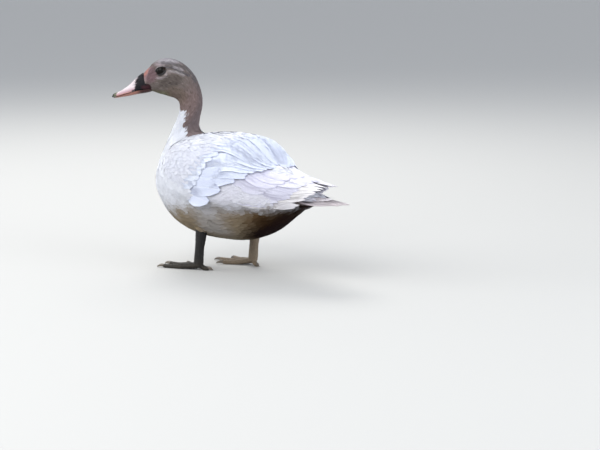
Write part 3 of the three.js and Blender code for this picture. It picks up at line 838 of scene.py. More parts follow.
def scattered(sheet, low, high, spacing, seed, wanted=everywhere):
    """Roots on part of a sheet, none nearer to another than spacing(u, v) millimetres."""
    draw, cells = np.random.default_rng(seed), 90
    (low_u, low_v), (high_u, high_v) = low, high
    grid_u, grid_v = np.meshgrid(np.linspace(low_u, high_u, cells), np.linspace(low_v, high_v, cells), indexing="ij")
    area = np.linalg.norm(np.cross(*sheet.slopes(grid_u, grid_v)), axis=-1)
    chance = (area / spacing(grid_u, grid_v) ** 2).ravel()
    count = int(chance.sum() * ((high_u - low_u) * (high_v - low_v) / area.size) * 26 / 10)
    pick = draw.choice(chance.size, count, p=chance / chance.sum())
    u = grid_u.ravel()[pick] + draw.uniform(-0.5, 0.5, count) * (high_u - low_u) / (cells - 1)
    v = grid_v.ravel()[pick] + draw.uniform(-0.5, 0.5, count) * (high_v - low_v) / (cells - 1)
    inside = (u >= low_u) & (u <= high_u) & (v >= low_v) & (v <= high_v)
    u, v = u[inside], v[inside]
    points = sheet.rule(u, v)
    good = wanted(u, v, points)
    u, v, points = u[good], v[good], points[good]
    gap = spacing(u, v)
    size = float(gap.max())
    taken, chosen = {}, []
    for i, (p, g) in enumerate(zip(points, gap)):
        key = tuple(int(c // size) for c in p)
        boxes = ((key[0] + dx, key[1] + dy, key[2] + dz) for dx, dy, dz in itertools.product((-1, 0, 1), repeat=3))
        others = (q for box in boxes for q in taken.get(box, ()))
        if all((p[0] - q[0]) ** 2 + (p[1] - q[1]) ** 2 + (p[2] - q[2]) ** 2 >= g * g for q in others):
            taken.setdefault(key, []).append(p)
            chosen.append(i)
    return np.stack([u[chosen], v[chosen]], -1)


def map_place(across, along):
    """The place of each root on a chart whose sides run from 0 to 1"""
    return np.stack([across, along], -1) * 0.98 + 0.01


def grown(sheet, roots, chart, width, lift, thick, colour, draw, turn, length, flow=-1.0, ends=(0.02, 0.98)):
    """Short soft feathers from their roots; lift is the depth of the root and the least and most of the tip."""
    path = march(sheet, roots, turn, length, plume["rungs"], flow)
    path[..., 0] = np.clip(path[..., 0], *ends)
    colours = np.clip(colour(sheet.rule(path[:, -2, 0], path[:, -2, 1])), 0, 1)
    rise = np.stack([np.full(len(roots), lift[0]), draw.uniform(*lift[1:], len(roots))], -1)
    return lay(sheet, path, plume, width, rise, DOWNY, thick, colours, draw, chart)


print("feathers have", [t["rungs"] for t in (tuft, plume, covert, quill)], "rungs")

# %% [markdown]
# The folded wing lies on a form of its own, a little wider than the body, that runs on behind it to the
# wing tips. A thin bed follows that form under the feathers and closes the gaps between them. It is
# coloured as painted shade: grey-white, and brown as a painted shadow along its lower rear edge under the
# coverts.

# %% The wing's form and bed
WING_X = [84, 66, 40, 0, -50, -68, -85, -100, -120, -155, -192]
WING_HALF = [40, 57, 69, 75, 72, 66, 59, 54, 48, 39, 25]
WING_MIDDLE = [136, 131, 124, 120, 118, 117, 115, 113, 111, 110, 116]
WING_TOP = [158, 175, 185, 189, 184, 172, 156, 147, 141, 136, 131]
WING_FULL = 0.72  # below 1 the section grows squarer
wing_curves = [curve_through(list(zip(WING_X, values))) for values in (WING_HALF, WING_MIDDLE, WING_TOP)]
wing_order = np.array(WING_X[::-1], float), np.linspace(1, 0, len(WING_X))


def wing_sizes(x):
    """Half the width, the height of the middle and of the top"""
    return (curve(np.interp(x, *wing_order))[..., 1] for curve in wing_curves)


def fuller(value):
    return np.sign(value) * np.abs(value) ** WING_FULL


def wing_rule(side):
    def rule(x, angle):
        x, angle = np.broadcast_arrays(np.asarray(x, float), np.asarray(angle, float))
        half, middle, top = wing_sizes(x)
        r = np.radians(angle)
        y = half * fuller(np.cos(r)) - 5 * smooth(-angle, -4, 12) * smooth(x, -20, 20)
        return np.stack([x, y * side, middle + (top - middle) * fuller(np.sin(r))], -1)

    return rule


def wing_bed(side):
    obj = grid(70, 36)
    p = coordinates(obj)
    x = lerp(80, -122, (p[:, 0] + 1) / 2)
    lowest = np.interp(x, [-122, -100, -60, -20, 20, 60, 80], [4, 0, -4, -5, -4, 10, 60])
    edge = smooth(-np.abs(p[:, 0]), -1, -0.9) * smooth(p[:, 1], -1, -0.8)
    sheet = Sheet(wing_rule(side), (1.0, 1.0), (-40, 0, 120))
    point, normal, _, _ = sheet.frame(x, lerp(lowest, 91, (p[:, 1] + 1) / 2))
    depth = np.interp(x, [-122, -60, 10, 60], [4.2, 3.2, 1.7, 2.4]) + 2.0 * (1 - edge)
    put(obj, point - normal * depth[:, None])
    modified(obj, "SOLIDIFY", thickness=2.5 * MM, offset=-side)
    outwards(obj)
    p = measured(obj)
    # Painted shadow: the bed turns brown along its lower rear edge, where the coverts shade it.
    painted_shadow_edge = smooth(p[:, 2], 122, 108) * smooth(-p[:, 0], 10, 30)
    tinted(obj, blend(PAINTED_SHADE_WHITE * 0.9, BROWN * 0.6, painted_shadow_edge))
    kept(f"wing_bed_{SIDES[side]}", shaded_smooth(obj), skin_finish, "wing_plumage")


def side_rule(share, angle):
    """The body with the fronts and lower edges of the wings under one smooth cover."""
    p = body_rule(share, angle)
    x, z = p[..., 0], p[..., 2]
    half, middle, top = wing_sizes(x)
    rise = np.clip((z - middle) / (top - middle), -1, 1)
    across = half * (1 - np.abs(rise) ** (2 / WING_FULL)) ** (WING_FULL / 2)
    across = across - 15 * (1 - smooth(z, middle - 40, middle - 8)) - 40 * smooth(x, 70, 100)
    y = np.abs(p[..., 1])
    y = (y + across) / 2 + np.sqrt(((y - across) / 2) ** 2 + 1.5)
    return np.stack([x, np.sign(p[..., 1]) * y, z], -1)


side_cover = Sheet(side_rule, (0.002, 1.0))
print("the folded wings reach", max(WING_HALF), "mm to each side")

# %% [markdown]
# The coat of the body grows from bill to tail in regions. On the face the tufts are a few millimetres
# long and lie flat like velvet; they lengthen down the neck, and on breast and belly each is a rounded
# feather. Where the wings cover the body nothing is laid.

# %% A region of the coat


def under_wing(share, angle):
    s = straight_body(share, angle)
    x, z = s[..., 0], s[..., 2]
    edge = np.interp(x, [-150, -112, -60, -14, 30, 52, 66], [128, 126, 124, 120, 122, 150, 190])
    return (z > edge) & (x < 66) & (x > -94) & (share < share_of("neck root"))


def coat_region(
    name, low, high, spacing, seed, template, length, width, finish, slot, shape=DOWNY, wanted=everywhere, sheet=body,
    lift=(-0.8, 0.1), thick=0.16, stray=6.0, vary=0.03, tilts=4.0, **how,
):
    """Feathers over part of the body; spacing, length and width are sizes that change along it."""
    draw = np.random.default_rng(seed)

    def allowed(u, v, points):
        return wanted(u, v, points) & (~under_wing(u, v) | (sheet is side_cover))

    roots = scattered(sheet, low, high, spacing, seed, allowed)
    u, v, count = roots[:, 0], roots[:, 1], len(roots)
    long = length(u, v) * draw.uniform(0.85, 1.2, count)
    wide = width(u, v) * draw.uniform(0.85, 1.15, count)
    path = march(sheet, roots, draw.normal(0, stray, count), long, template["rungs"])
    path[..., 0] = np.clip(path[..., 0], 0.006, 0.994)
    tip = path[:, -2, 0], path[:, -2, 1]
    colours = np.clip(paint(*tip, straight_body(*tip)) * draw.normal(1, vary, count)[:, None], 0, 1)
    depth = coat_depth(u)
    rise = np.stack([lift[0] * depth, -0.35 * depth + lift[1] * draw.uniform(0.3, 1.2, count)], -1)
    tilt = draw.normal(0, tilts, count)
    batch = lay(sheet, path, template, wide, rise, shape, thick, colours, draw, map_place((v + 180) / 360, u),
                tilt=tilt, **how)
    feather_piece(name, [batch], finish, slot)


def face_wanted(u, v, points):
    """Not on the eye, the bare forehead or the corner of the mouth"""
    x, y, z = straight_body(u, v).T
    bare = ((x + 0.25 * (z - 260) > 126.5) & (z > 256)) | (x > 128.4)
    clear = np.hypot((x - EYE[0]) / 1.12, z - EYE[2]) > 8.2
    return clear & ~bare & (gape_share(x, np.abs(y), z) < 0.4)


def over_wing(u, v, points):
    """Where the side feathers cover the front and the lower edge of the folded wing"""
    x, z = points[:, 0], points[:, 2]
    edges = [-116, -105, -98, -88, -75, -61, -45, -31, -8, 10, 26, 38, 50]
    upper = np.interp(x, edges, [98, 112, 120, 127, 131, 131, 126, 120, 112, 110, 126, 150, 196])
    return (z > 84) & (z < upper + 2 * waves(points, 12, 18)) & (x > -116) & (x < 92)


# %% Coat of head, neck and body
head_low = share_of("high neck") + 0.02
keel, crop = share_of("keel"), share_of("crop")
coat_region(
    "head_tufts", (head_low, -180), (0.985, 180), graded(1.35, 0.85, 0.7, 0.92), 11, tuft,
    graded(7.0, 3.0, 0.68, 0.95), graded(2.3, 1.15, 0.68, 0.95), head_finish, "head_plumage",
    shape=POINTED, wanted=face_wanted, lift=(-0.9, 0.25), vary=0.10, fray=0.05,
)
coat_region(
    "neck_feathers", (crop - 0.01, -180), (head_low + 0.012, 180), graded(3.0, 1.5, 0.44, 0.6), 12, plume,
    graded(15.0, 8.0, 0.43, 0.62), graded(6.5, 2.8, 0.43, 0.62), head_finish, "head_plumage",
    lift=(-0.85, 0.1), thick=0.08, vary=0.04, tilts=2.5, fray=0.07,
)
coat_region(
    "breast_feathers", (keel - 0.012, -180), (crop + 0.005, 180), graded(3.1), 13, plume,
    graded(14.0), graded(7.4), body_finish, "body_plumage",
    thick=0.06, vary=0.012, tilts=1.8, fray=0.09, bow=0.7,
)
for number, (low, high) in enumerate([(-180, -90), (-90, 0), (0, 180)]):
    coat_region(
        f"belly_feathers_{number + 1}", (0.03, low), (keel, high), graded(3.3), 14 + number, plume,
        graded(18.0), graded(6.4), body_finish, "body_plumage",
        lift=(-0.85, 0.2), thick=0.08, stray=8.0, fray=0.08, bow=0.6,
    )
for side, low in ((1, -40), (-1, 120)):
    coat_region(
        f"flank_feathers_{SIDES[side]}", (share_of("vent") + 0.01, low), (share_of("neck root") - 0.01, low + 100),
        graded(3.0), 24 + side, plume, graded(14, 16, 0.24, 0.12), graded(7.2), body_finish, "body_plumage",
        wanted=over_wing, sheet=side_cover,
        lift=(-0.8, 0.45), thick=0.07, stray=8.0, vary=0.015, tilts=2.0, fray=0.08, bow=0.6,
    )

# %% [markdown]
# The thighs are short and mostly hidden in the belly. Their feathers run down to the hock and get smaller
# there.

# %% Thigh feathers
batches = []
for side in SIDES:
    draw = np.random.default_rng(40 + side)
    sheet = Sheet(limb_rule(*THIGH, FORWARD, side), (0.01, 2.0))
    roots = scattered(sheet, (0.25, -180), (0.86, 180), lambda u, v: lerp(3.6, 2.0, u), 41 + side)
    u, v = roots.T
    batches.append(grown(
        sheet, roots, map_place((v + 180) / 720 + (0.5 if side > 0 else 0), u), lerp(7.5, 4.0, u),
        (-1.4, -0.6, 0.1), 0.12,
        # Painted shade: the thigh feathers take the belly's markings made darker, as they sit under the belly.
        lambda tips: painted(tips) * (0.78 * draw.normal(1, 0.05, len(tips)))[:, None], draw,
        length=lerp(14.0, 5.5, u) * draw.uniform(0.85, 1.15, len(u)), turn=draw.normal(0, 7, len(u)),
        flow=1.0, ends=(0.02, 0.985),
    ))
feather_piece("thigh_feathers", batches, body_finish, "body_plumage")


# %% [markdown]
# A wing's feathers stand in tiers: flight feathers lowest and furthest back, then greater, median and
# lesser coverts, and small feathers over the shoulder. In each tier the roots and the tips follow a curve
# through a few places, given as the distance along the bird and the angle round it, and later tiers lie
# over the earlier ones.

# %% Tiers of the wing
TIERS = [  # template, count, width, lift, tilt, waver, roots, tips, shape, tint
    (quill, 11, 16, (-3.6, -1.3), 4, 3, [(-70, -4), (-84, 4), (-90, 30), (-92, 76)],
     [(-132, -9), (-158, -7), (-170, 4), (-180, 22), (-187, 48), (-189, 80)], POINTED, "primary"),
    (quill, 11, 18, (-3.2, -0.9), 3, 5, [(-48, 0), (-62, 12), (-70, 40), (-74, 78)],
     [(-108, -6), (-132, -2), (-150, 14), (-160, 44), (-162, 84)], ROUND, "secondary"),
    (quill, 7, 22, (-2.8, -0.4), 3, 5, [(-50, 22), (-58, 42), (-62, 84)],
     [(-112, 12), (-130, 38), (-134, 85)], ROUND, "secondary"),
    (covert, 9, 27, (-1.5, 1.3), 2, 1, [(14, -4), (4, 0), (-10, 7), (-22, 15), (-32, 27), (-36, 46), (-34, 64)],
     [(-36, -6), (-60, 4), (-82, 25), (-91, 50), (-96, 68), (-98, 79), (-99, 87)], ROUND, "covert"),
    (covert, 8, 21, (-1.0, 1.4), 2, 3, [(-2, 46), (-4, 66), (-4, 87)],
     [(-84, 62), (-92, 77), (-94, 89)], ROUND, "covert"),
    (covert, 11, 22, (-1.2, 0.55), 2, 9, [(30, 3), (18, 14), (8, 34), (2, 60), (2, 86)],
     [(-6, 1), (-18, 10), (-36, 30), (-52, 58), (-58, 87)], ROUND, "covert"),
]
WING_TINTS = {
    "primary": (linear(200, 197, 207), linear(219, 215, 217)),
    "secondary": (linear(196, 194, 216), linear(212, 211, 230)),
    "covert": (linear(196, 203, 228), linear(212, 219, 238)),
    "lesser": (linear(222, 225, 240), linear(236, 238, 249)),
}
RIGHT_TUCK = 42.0  # the right wing's primaries are folded a little tighter


def tier_paths(roots, tips, count, waver, draw, rungs, curl, tuck=0.0):
    share = np.linspace(0, 1, count)
    root, tip = curve_through(roots)(share), curve_through(tips)(share)
    tip[:, 0] += waver * draw.uniform(-0.5, 0.5, count) + tuck * smooth(-tip[:, 1], -55, -5)
    tip[:, 1] += draw.uniform(-1.5, 1.5, count)
    t = rung_shares(rungs)[None, :, None]
    path = root[:, None] + (tip - root)[:, None] * t
    path[..., 1] += curl * np.sin(np.pi * t[..., 0])
    return path


def wing_map(place):
    return np.stack([(place[:, 0] + 210) / 310, (place[:, 1] + 40) / 140], -1)


def wing_tint(sheet, place, kind, draw):
    """White with a faint lilac or blue cast that drifts over the wing."""
    drift = 0.5 + 0.35 * waves(sheet.rule(place[:, 0], place[:, 1]), 55, 33)[:, None]
    return lerp(*WING_TINTS[kind], np.clip(drift + draw.uniform(-0.2, 0.2, (len(place), 1)), 0, 1))


# %% Wing feathers


def shoulder_wanted(x, angle, points):
    rear = np.interp(angle, [-14, 0, 20, 40, 60, 90], [20, 14, 2, -8, -22, -34])
    front = np.interp(angle, [-14, 0, 30, 60, 90], [56, 66, 70, 72, 74])
    return (x > rear + 5 * waves(points, 18, 44)) & (x < front)


def shoulder_feathers(sheet, seed):
    """Small feathers over the front of the wing"""
    draw = np.random.default_rng(seed)
    roots = scattered(sheet, (-54, -10), (76, 90), graded(4.8, 3.2, 0, 70), seed, shoulder_wanted)
    count, front = len(roots), smooth(roots[:, 0], 0, 70)
    length = lerp(22, 14, front) * draw.uniform(0.85, 1.2, count)
    path = march(sheet, roots, draw.normal(0, 6, count), length, plume["rungs"])
    colours = wing_tint(sheet, roots, "lesser", draw)
    rise = np.array([-0.9, 0.7]) + draw.uniform(-0.15, 0.15, (count, 1))
    width = lerp(12, 8, front) * draw.uniform(0.85, 1.15, count)
    return lay(sheet, path, plume, width, rise, DOWNY, 0.12, colours, draw, wing_map(roots),
               tilt=draw.normal(0, 3, count), bow=0.6)


def dressed_wing(side):
    draw = np.random.default_rng(50 + (side < 0))
    sheet = Sheet(wing_rule(side), (1.0, 1.0), (-40, 0, 110))
    batches = []
    for template, count, width, lift, tilt, waver, roots, tips, shape, kind in TIERS:
        tuck = RIGHT_TUCK if side < 0 and kind == "primary" else 0.0
        path = tier_paths(roots, tips, count, waver, draw, template["rungs"], 1.5, tuck)
        colours = wing_tint(sheet, path[:, -3], kind, draw)
        rise = np.array(lift) + draw.uniform(-0.2, 0.2, (count, 1))
        roof = 7 * smooth(path[:, -1, 1], 50, 80) * (kind != "covert")  # quills tilt where the back falls away
        batches.append(lay(
            sheet, path, template, width * draw.uniform(0.92, 1.08, count), rise, shape, 0.28, colours, draw,
            wing_map(path[:, 0]), fray=0.022, tilt=tilt * -side + roof, bow=0.55,
        ))
    batches.append(shoulder_feathers(sheet, 64 + side))
    feather_piece(f"wing_feathers_{SIDES[side]}", batches, wing_finish, "wing_plumage", f"wing_{SIDES[side]}")
    wing_bed(side)


for side in SIDES:
    dressed_wing(side)

# %% [markdown]
# The rump is a roof that narrows from the back to the tail. Small soft feathers cover it, and under them
# the tail's stiff ones come out.

# %% Rump
RUMP_X = [-206, -180, -165, -150, -135, -118, -100, -84]
RUMP_Z = [107, 112, 115.5, 121, 130.5, 141, 150, 155]
RUMP_HALF = [30, 27, 25, 25, 28, 33, 36, 36]
RUMP_DROP = [4, 4, 5, 8, 13, 20, 22, 22]


def rump_rule(x, angle):
    """The roof over the tail root; the angle runs to both sides."""
    x, angle = np.broadcast_arrays(np.asarray(x, float), np.asarray(angle, float))
    z, half, drop = (np.interp(x, RUMP_X, values) for values in (RUMP_Z, RUMP_HALF, RUMP_DROP))
    a = np.radians(angle)
    return np.stack([x, half * np.sin(a), z - drop * (1 - np.cos(a))], -1)


rump, draw = Sheet(rump_rule, (4.0, 2.0), (-140, 0, 90)), np.random.default_rng(75)
roots = scattered(rump, (-152, -78), (-88, 78), graded(4.2), 76)
count = len(roots)
feather_piece("rump_feathers", [grown(
    rump, roots, np.stack([(roots[:, 0] + 156) / 80, (roots[:, 1] + 90) / 180], -1), np.full(count, 10.0),
    (-1.8, 0.0, 0.6), 0.18, lambda tips: lerp(LILAC, WHITE, draw.uniform(0, 1, (count, 1))) * 0.95, draw,
    turn=draw.normal(0, 5, count), length=22 * draw.uniform(0.85, 1.2, count), ends=(-300, 300),
)], body_finish, "tail_plumage")

# %% [markdown]
# The tail is a fan of stiff feathers, the middle ones longest, with coverts over them. It droops a little
# at its sides, as a roof does, so its rule takes a reach from the root and an angle in the fan.

# %% Tail feathers
TAIL_ROOT, TAIL_DROP = (-128, 118), math.tan(math.radians(6.0))
TAIL_TIERS = [  # template, count, width, lift, roots, tips, shape, tint
    (quill, 12, 13, (-2.2, -1.0), [(14, -42), (20, 0), (14, 42)], [(70, -17), (88, 0), (70, 17)], POINTED,
     linear(180, 170, 174)),
    (covert, 8, 16, (-1.4, 0.0), [(4, -50), (8, 0), (4, 50)], [(46, -19), (60, 0), (46, 19)], ROUND,
     linear(232, 222, 227)),
    (covert, 8, 15, (-0.8, 0.8), [(-10, -60), (-8, 0), (-10, 60)], [(26, -30), (36, 0), (26, 30)], ROUND,
     linear(246, 236, 240)),
]


def tail_rule(reach, fan):
    reach, fan = np.broadcast_arrays(np.asarray(reach, float), np.asarray(fan, float))
    y = reach * np.sin(np.radians(fan))
    z = TAIL_ROOT[1] - reach * TAIL_DROP - y * y / 180
    return np.stack([TAIL_ROOT[0] - reach * np.cos(np.radians(fan)), y, z], -1)


batches, draw = [], np.random.default_rng(70)
sheet = Sheet(tail_rule, (0.5, 1.0), (-160, 0, 60))
for template, count, width, lift, roots, tips, shape, tint in TAIL_TIERS:
    path = tier_paths(roots, tips, count, 5, draw, template["rungs"], 0.0)
    colours = np.clip(tint * draw.normal(1, 0.05, (count, 1)), 0, 1)
    rise = np.array(lift) + 0.6 * (1 - np.abs(np.linspace(-1, 1, count)))[:, None]
    chart = np.stack([(path[:, 0, 0] + 20) / 120, (path[:, 0, 1] + 90) / 180], -1)
    batches.append(lay(sheet, path, template, width * draw.uniform(0.9, 1.1, count), rise, shape, 0.4, colours, draw,
                       chart, fray=0.03, tilt=np.linspace(-4, 4, count), bow=0.5))
feather_piece("tail_feathers", batches, tail_finish, "tail_plumage", "tail")

# %% [markdown]
# Between body and tail lies a flat fleshy base, dark brown below, which is partly painted shade. It is a
# ball moulded to a rule, and soft feathers grow backwards on its lower half, dark brown low down as
# partly painted shade.

# %% Tail base and undertail


def tail_base(share, angle):
    x, rise = lerp(-116, -176, share), np.sin(np.radians(angle))
    close = np.sqrt(np.clip(np.minimum(np.minimum(1, share / 0.1), (1 - share) / 0.3), 0, 1))
    half, top, under = lerp(23, 16, share) * close, lerp(2.5, 0.6, share) * close, lerp(25, 4.5, share) * close
    z = TAIL_ROOT[1] + (x - TAIL_ROOT[0]) * TAIL_DROP
    return np.stack([x, half * np.cos(np.radians(angle)), z - 2 + rise * np.where(rise > 0, top, under)], -1)


base = moulded_ball(40, 30, tail_base)
# Partly painted shade: the base is dark brown below, under the tail.
tinted(base, blend(linear(190, 184, 188), DARK_BROWN, smooth(measured(base)[:, 2], 111, 104)))
kept("tail_base", shaded_smooth(base), skin_finish, "tail_plumage")

vent, draw = Sheet(tail_base, (0.01, 2.0)), np.random.default_rng(71)
roots = scattered(vent, (0.1, -176), (0.8, -4), graded(3.4), 72)
count = len(roots)
# The undertail feathers are dark brown low down, partly as painted shade.
feather_piece("undertail_coverts", [grown(
    vent, roots, map_place((roots[:, 1] + 180) / 200, roots[:, 0]), np.full(count, 7.0), (-1.2, 0.2, 0.8), 0.25,
    lambda tips: blend(linear(150, 140, 138), DARK_BROWN, smooth(tips[:, 2], 111, 103))
    * draw.normal(1, 0.06, (count, 1)),
    draw, turn=draw.normal(0, 6, count), length=16 * draw.uniform(0.85, 1.15, count), flow=1.0,
)], body_finish, "tail_plumage")

# %% [markdown]
# The eye is a dark glossy ball set in the side of the head, with a brown iris and a black pupil that
# show only close up. The iris follows a map of its own, which runs from the pupil's middle outwards.

# %% Eyes
EYE_RADIUS = 8.2


def eye_place(side, points):
    """From the eye's own axes (ahead, up, outwards) to the turned head."""
    look = unit(np.array([0.16, 0.96 * side, 0.16]))
    slope = np.array([1.0, 0, -0.46])  # the opening rises to the rear
    ahead = unit(slope - look * dot(slope, look))
    up = np.cross(ahead, look) * -side
    p = points[:, 0:1] * ahead + points[:, 1:2] * up + points[:, 2:3] * look
    return turned(p + EYE * (1, side, 1))


eye_finish = Finish("eye", Roughness=0.08, Coat_Weight=0.08, Coat_Roughness=0.02, Specular_IOR_Level=0.06)
black = (0.003, 0.003, 0.003)
iris = eye_finish.own_map("gaze")["X"].ramp(
    (0.0, black), (0.44, black), (0.50, (0.018, 0.010, 0.007)), (0.70, (0.014, 0.009, 0.006)),
    (0.82, (0.006, 0.005, 0.005)), (1.0, (0.02, 0.012, 0.012)),
)
eye_finish.set("Base Color", eye_finish.mix(eye_finish.noise(2500.0, 3.0) * 0.5, iris, (0.012, 0.008, 0.006)))
for side, name in SIDES.items():
    eye = ball(48, 32)
    p = coordinates(eye)
    gaze = np.arccos(np.clip(p[:, 2], -1, 1)) / (np.pi / 2)
    bulge = 1 + 0.045 * (1 - smooth(gaze, 0.35, 0.75))
    put(eye, eye_place(side, p * EYE_RADIUS * 0.985 * bulge[:, None]))
    outwards(eye)
    corner = np.array([loop.vertex_index for loop in eye.data.loops])
    layer = eye.data.uv_layers.new(name="gaze")
    layer.data.foreach_set("uv", np.stack([np.clip(gaze, 0, 1)[corner], np.full(len(corner), 0.5)], -1).ravel())
    kept(f"eye_{name}_ball", shaded_smooth(eye), eye_finish, "eye", f"eye_{name}")

# %% [markdown]
# The lids are a thin ring over the ball. A torus is moulded so that its inner rim is the almond opening
# and its outer rim sinks in the face. The lower lid is paler, as a light line under the eye.

# %% Eyelids


def lid(side):
    alone()
    bpy.ops.mesh.primitive_torus_add(major_segments=72, minor_segments=16, major_radius=1, minor_radius=0.25)
    obj = bpy.context.object
    p = coordinates(obj)
    major = np.arctan2(p[:, 1], p[:, 0])
    minor = np.arctan2(p[:, 2], np.hypot(p[:, 0], p[:, 1]) - 1)
    outer = (1 + np.cos(minor)) / 2
    c, s = np.cos(major), np.sin(major)
    corner = np.abs(c) ** 3
    rim_x, rim_y = 7.9 * c - 0.6 * (c < 0) * corner, (4.8 - 0.4 * (s < 0)) * s * (1 - 0.4 * corner)
    x, y = lerp(rim_x, 9.8 * c, outer), lerp(rim_y, (7.4 - 0.9 * (s < 0)) * s, outer)
    away = np.minimum(np.hypot(x, y), 9.9)
    shell = EYE_RADIUS + 0.55 + 0.55 * np.sin(minor) * (0.6 + 0.4 * (1 - outer))
    height = np.sqrt(np.maximum(shell**2 - away**2, 0.5))
    height = np.where(away > 7.2, height - 0.4 * (away - 7.2), height)
    put(obj, eye_place(side, np.stack([x, y, height], -1)))
    outwards(obj)
    lower, rear = smooth(-s, 0.05, 0.5), smooth(-c, 0.5, 0.95) * smooth(s, -0.25, 0.2)
    tinted(obj, layered(
        linear(14, 11, 12),
        (blend(linear(72, 62, 65), linear(118, 104, 108), lower), smooth(outer + 0.2 * lower, 0.6, 0.98)),
        (linear(34, 31, 33), rear * smooth(outer, 1.0, 0.75)),
    ))
    return shaded_smooth(obj)


lid_finish = Finish("eyelid_skin", Roughness=0.5)
grain = lid_finish.cells(1500.0)
lid_finish.set("Base Color", lid_finish.mix(grain * 0.3, lid_finish.tint(), (0.02, 0.016, 0.016), "SCREEN"))
lid_finish.bump(grain, 0.0003)
for side, name in SIDES.items():
    kept(f"eyelids_{name}", lid(side), lid_finish, "head_plumage")

# %% [markdown]
# The bill is horn and skin: black at its base round the nostril, pale pink with a whitish ridge in front,
# a dark nail at the tip, and dark red skin in the corner of the mouth. The whitish ridge carries a painted
# highlight, another painted highlight runs along the top of the black base and a fleck lies beside the
# nostril, and the nostril pit is painted near-black as its shade. Upper and lower bill are balls moulded to
# curves through a row of stations, fine enough to carry nostril, ridge and nail in the mesh.

# %% Form of the bill
BILL = [  # x, top, mouth, chin, half width
    (117, 251, 249.4, 247.6, 1), (120, 255, 248.6, 243.6, 10), (125, 262, 247.8, 241.8, 12.7),
    (131, 269, 247, 240.6, 12.6), (135.5, 267, 246.2, 239.9, 12), (143, 260.2, 244.4, 238.6, 11.2),
    (151.5, 251.8, 241.8, 236.8, 10.6), (161, 245, 239, 235.2, 10.9), (168.5, 240.8, 236.8, 234, 10.4),
    (173.5, 238.4, 235.4, 233.6, 7.6), (176.4, 235.6, 234.6, 233.8, 1),
]
bill_top = curve_through([(x, half, top) for x, top, _, _, half in BILL])
bill_mouth = curve_through([(x, chin, mouth) for x, _, mouth, chin, _ in BILL])


def sections(share, angle):
    """Place, half width, top, chin, mouth, and the section's width and height from -1 to 1"""
    a, b, c = bill_top(share), bill_mouth(share), np.cos(np.radians(angle))
    wide = np.sign(c) * np.abs(c) ** 0.85
    return a[..., 0], a[..., 1], a[..., 2], b[..., 1], b[..., 2], wide, c, np.sin(np.radians(angle))


def lower_bill(share, angle):
    x, half, _, chin, mouth, wide, _, s = sections(share, angle)
    z = mouth - 0.8 + np.where(s > 0, s * 0.1, s * np.maximum(mouth - 0.8 - chin, 0.4))
    return turned(np.stack([x - 1.2, wide * np.maximum(half - 1.1, 0.4), z], -1))


def upper_bill(share, angle):
    """The horn's flanks are hollow, the nostril is pressed in with a raised lip, and the nail stands up."""
    x, half, top, _, mouth, wide, c, s = sections(share, angle)
    z = np.where(s > 0, mouth + s * (top - mouth), mouth + s * 0.4)
    hollow = np.exp(-(((np.abs(c) - 0.62) / 0.2) ** 2)) * smooth(x, 132, 140) * smooth(x, 166, 150)
    y = wide * half * (1 - 0.07 * hollow * (s > 0))
    pit = np.hypot((x - 140.5 + 0.55 * (z - 257.6)) / 3.6, (z - 257.6 + 0.35 * (x - 140.5)) / 1.7)
    dent = np.where(s > 0.05, smooth(pit, 1.05, 0.55), 0) * 1.5
    lip = np.where(s > 0.05, np.exp(-(((pit - 1.35) / 0.3) ** 2)), 0) * 0.25
    nail = np.exp(-(((x - 171.6) / 4.4) ** 4) - ((y / 4.4) ** 4)) * (s > 0)
    return turned(np.stack([x + 0.3 * nail, y - np.sign(y) * (dent - lip), z + 0.9 * nail], -1))


# %% Colour of the bill


def bill_colours(points, upper):
    """points are on the straight head"""
    x, y, z = points[:, 0], np.abs(points[:, 1]), points[:, 2]
    if not upper:
        return layered(linear(142, 102, 92), (linear(58, 38, 38), smooth(x, 143, 132)),
                       (linear(40, 42, 34), smooth(x, 170, 173)))
    uneven = 1.2 * waves(points, 7, 21) + 0.6 * waves(points, 3, 22)
    above = z - np.interp(x, [117, 136, 151, 168, 177], [249, 246.2, 241.8, 236.8, 234.6])
    saddle = smooth(x + 0.2 * (z - 250) + 1.3 * uneven, 145, 141)
    return layered(
        linear(156, 128, 136),
        (linear(190, 180, 184), smooth(above, 1.0, 7.5)),
        (linear(160, 118, 112), smooth(above, 2.4, 0.3)),
        # The whitish ridge in front is the horn's pale top with a painted highlight along it.
        (linear(204, 202, 199), smooth(y, 6, 1.5) * smooth(x, 140, 148)),
        (linear(13, 12, 18), saddle),
        # Painted highlight along the top of the black base.
        (linear(150, 156, 150), saddle * smooth(y, 2.6, 0.8) * smooth(x, 132, 136)),
        # Painted highlight beside the nostril.
        (linear(168, 166, 170), 0.8 * blob(x, z, (144.5, 252.5), (2.2, 0.9), -30)),
        # The nostril pit is painted near-black as its shade.
        (linear(8, 8, 10), blob(x, z, (140.0, 256.8), (3.0, 1.4), -30)),
        (GAPE, smooth(x + uneven, 133.5, 129.5) * smooth(z, 254, 250.5)),
        (linear(112, 118, 88), smooth(x, 166.5, 168.8) * smooth(y, 5.4, 4.0)),
        (linear(70, 74, 52), smooth(x - 0.5 * above - 0.2 * y, 164, 168)),
        (linear(24, 26, 20), smooth(x, 171.5, 174)),
    )


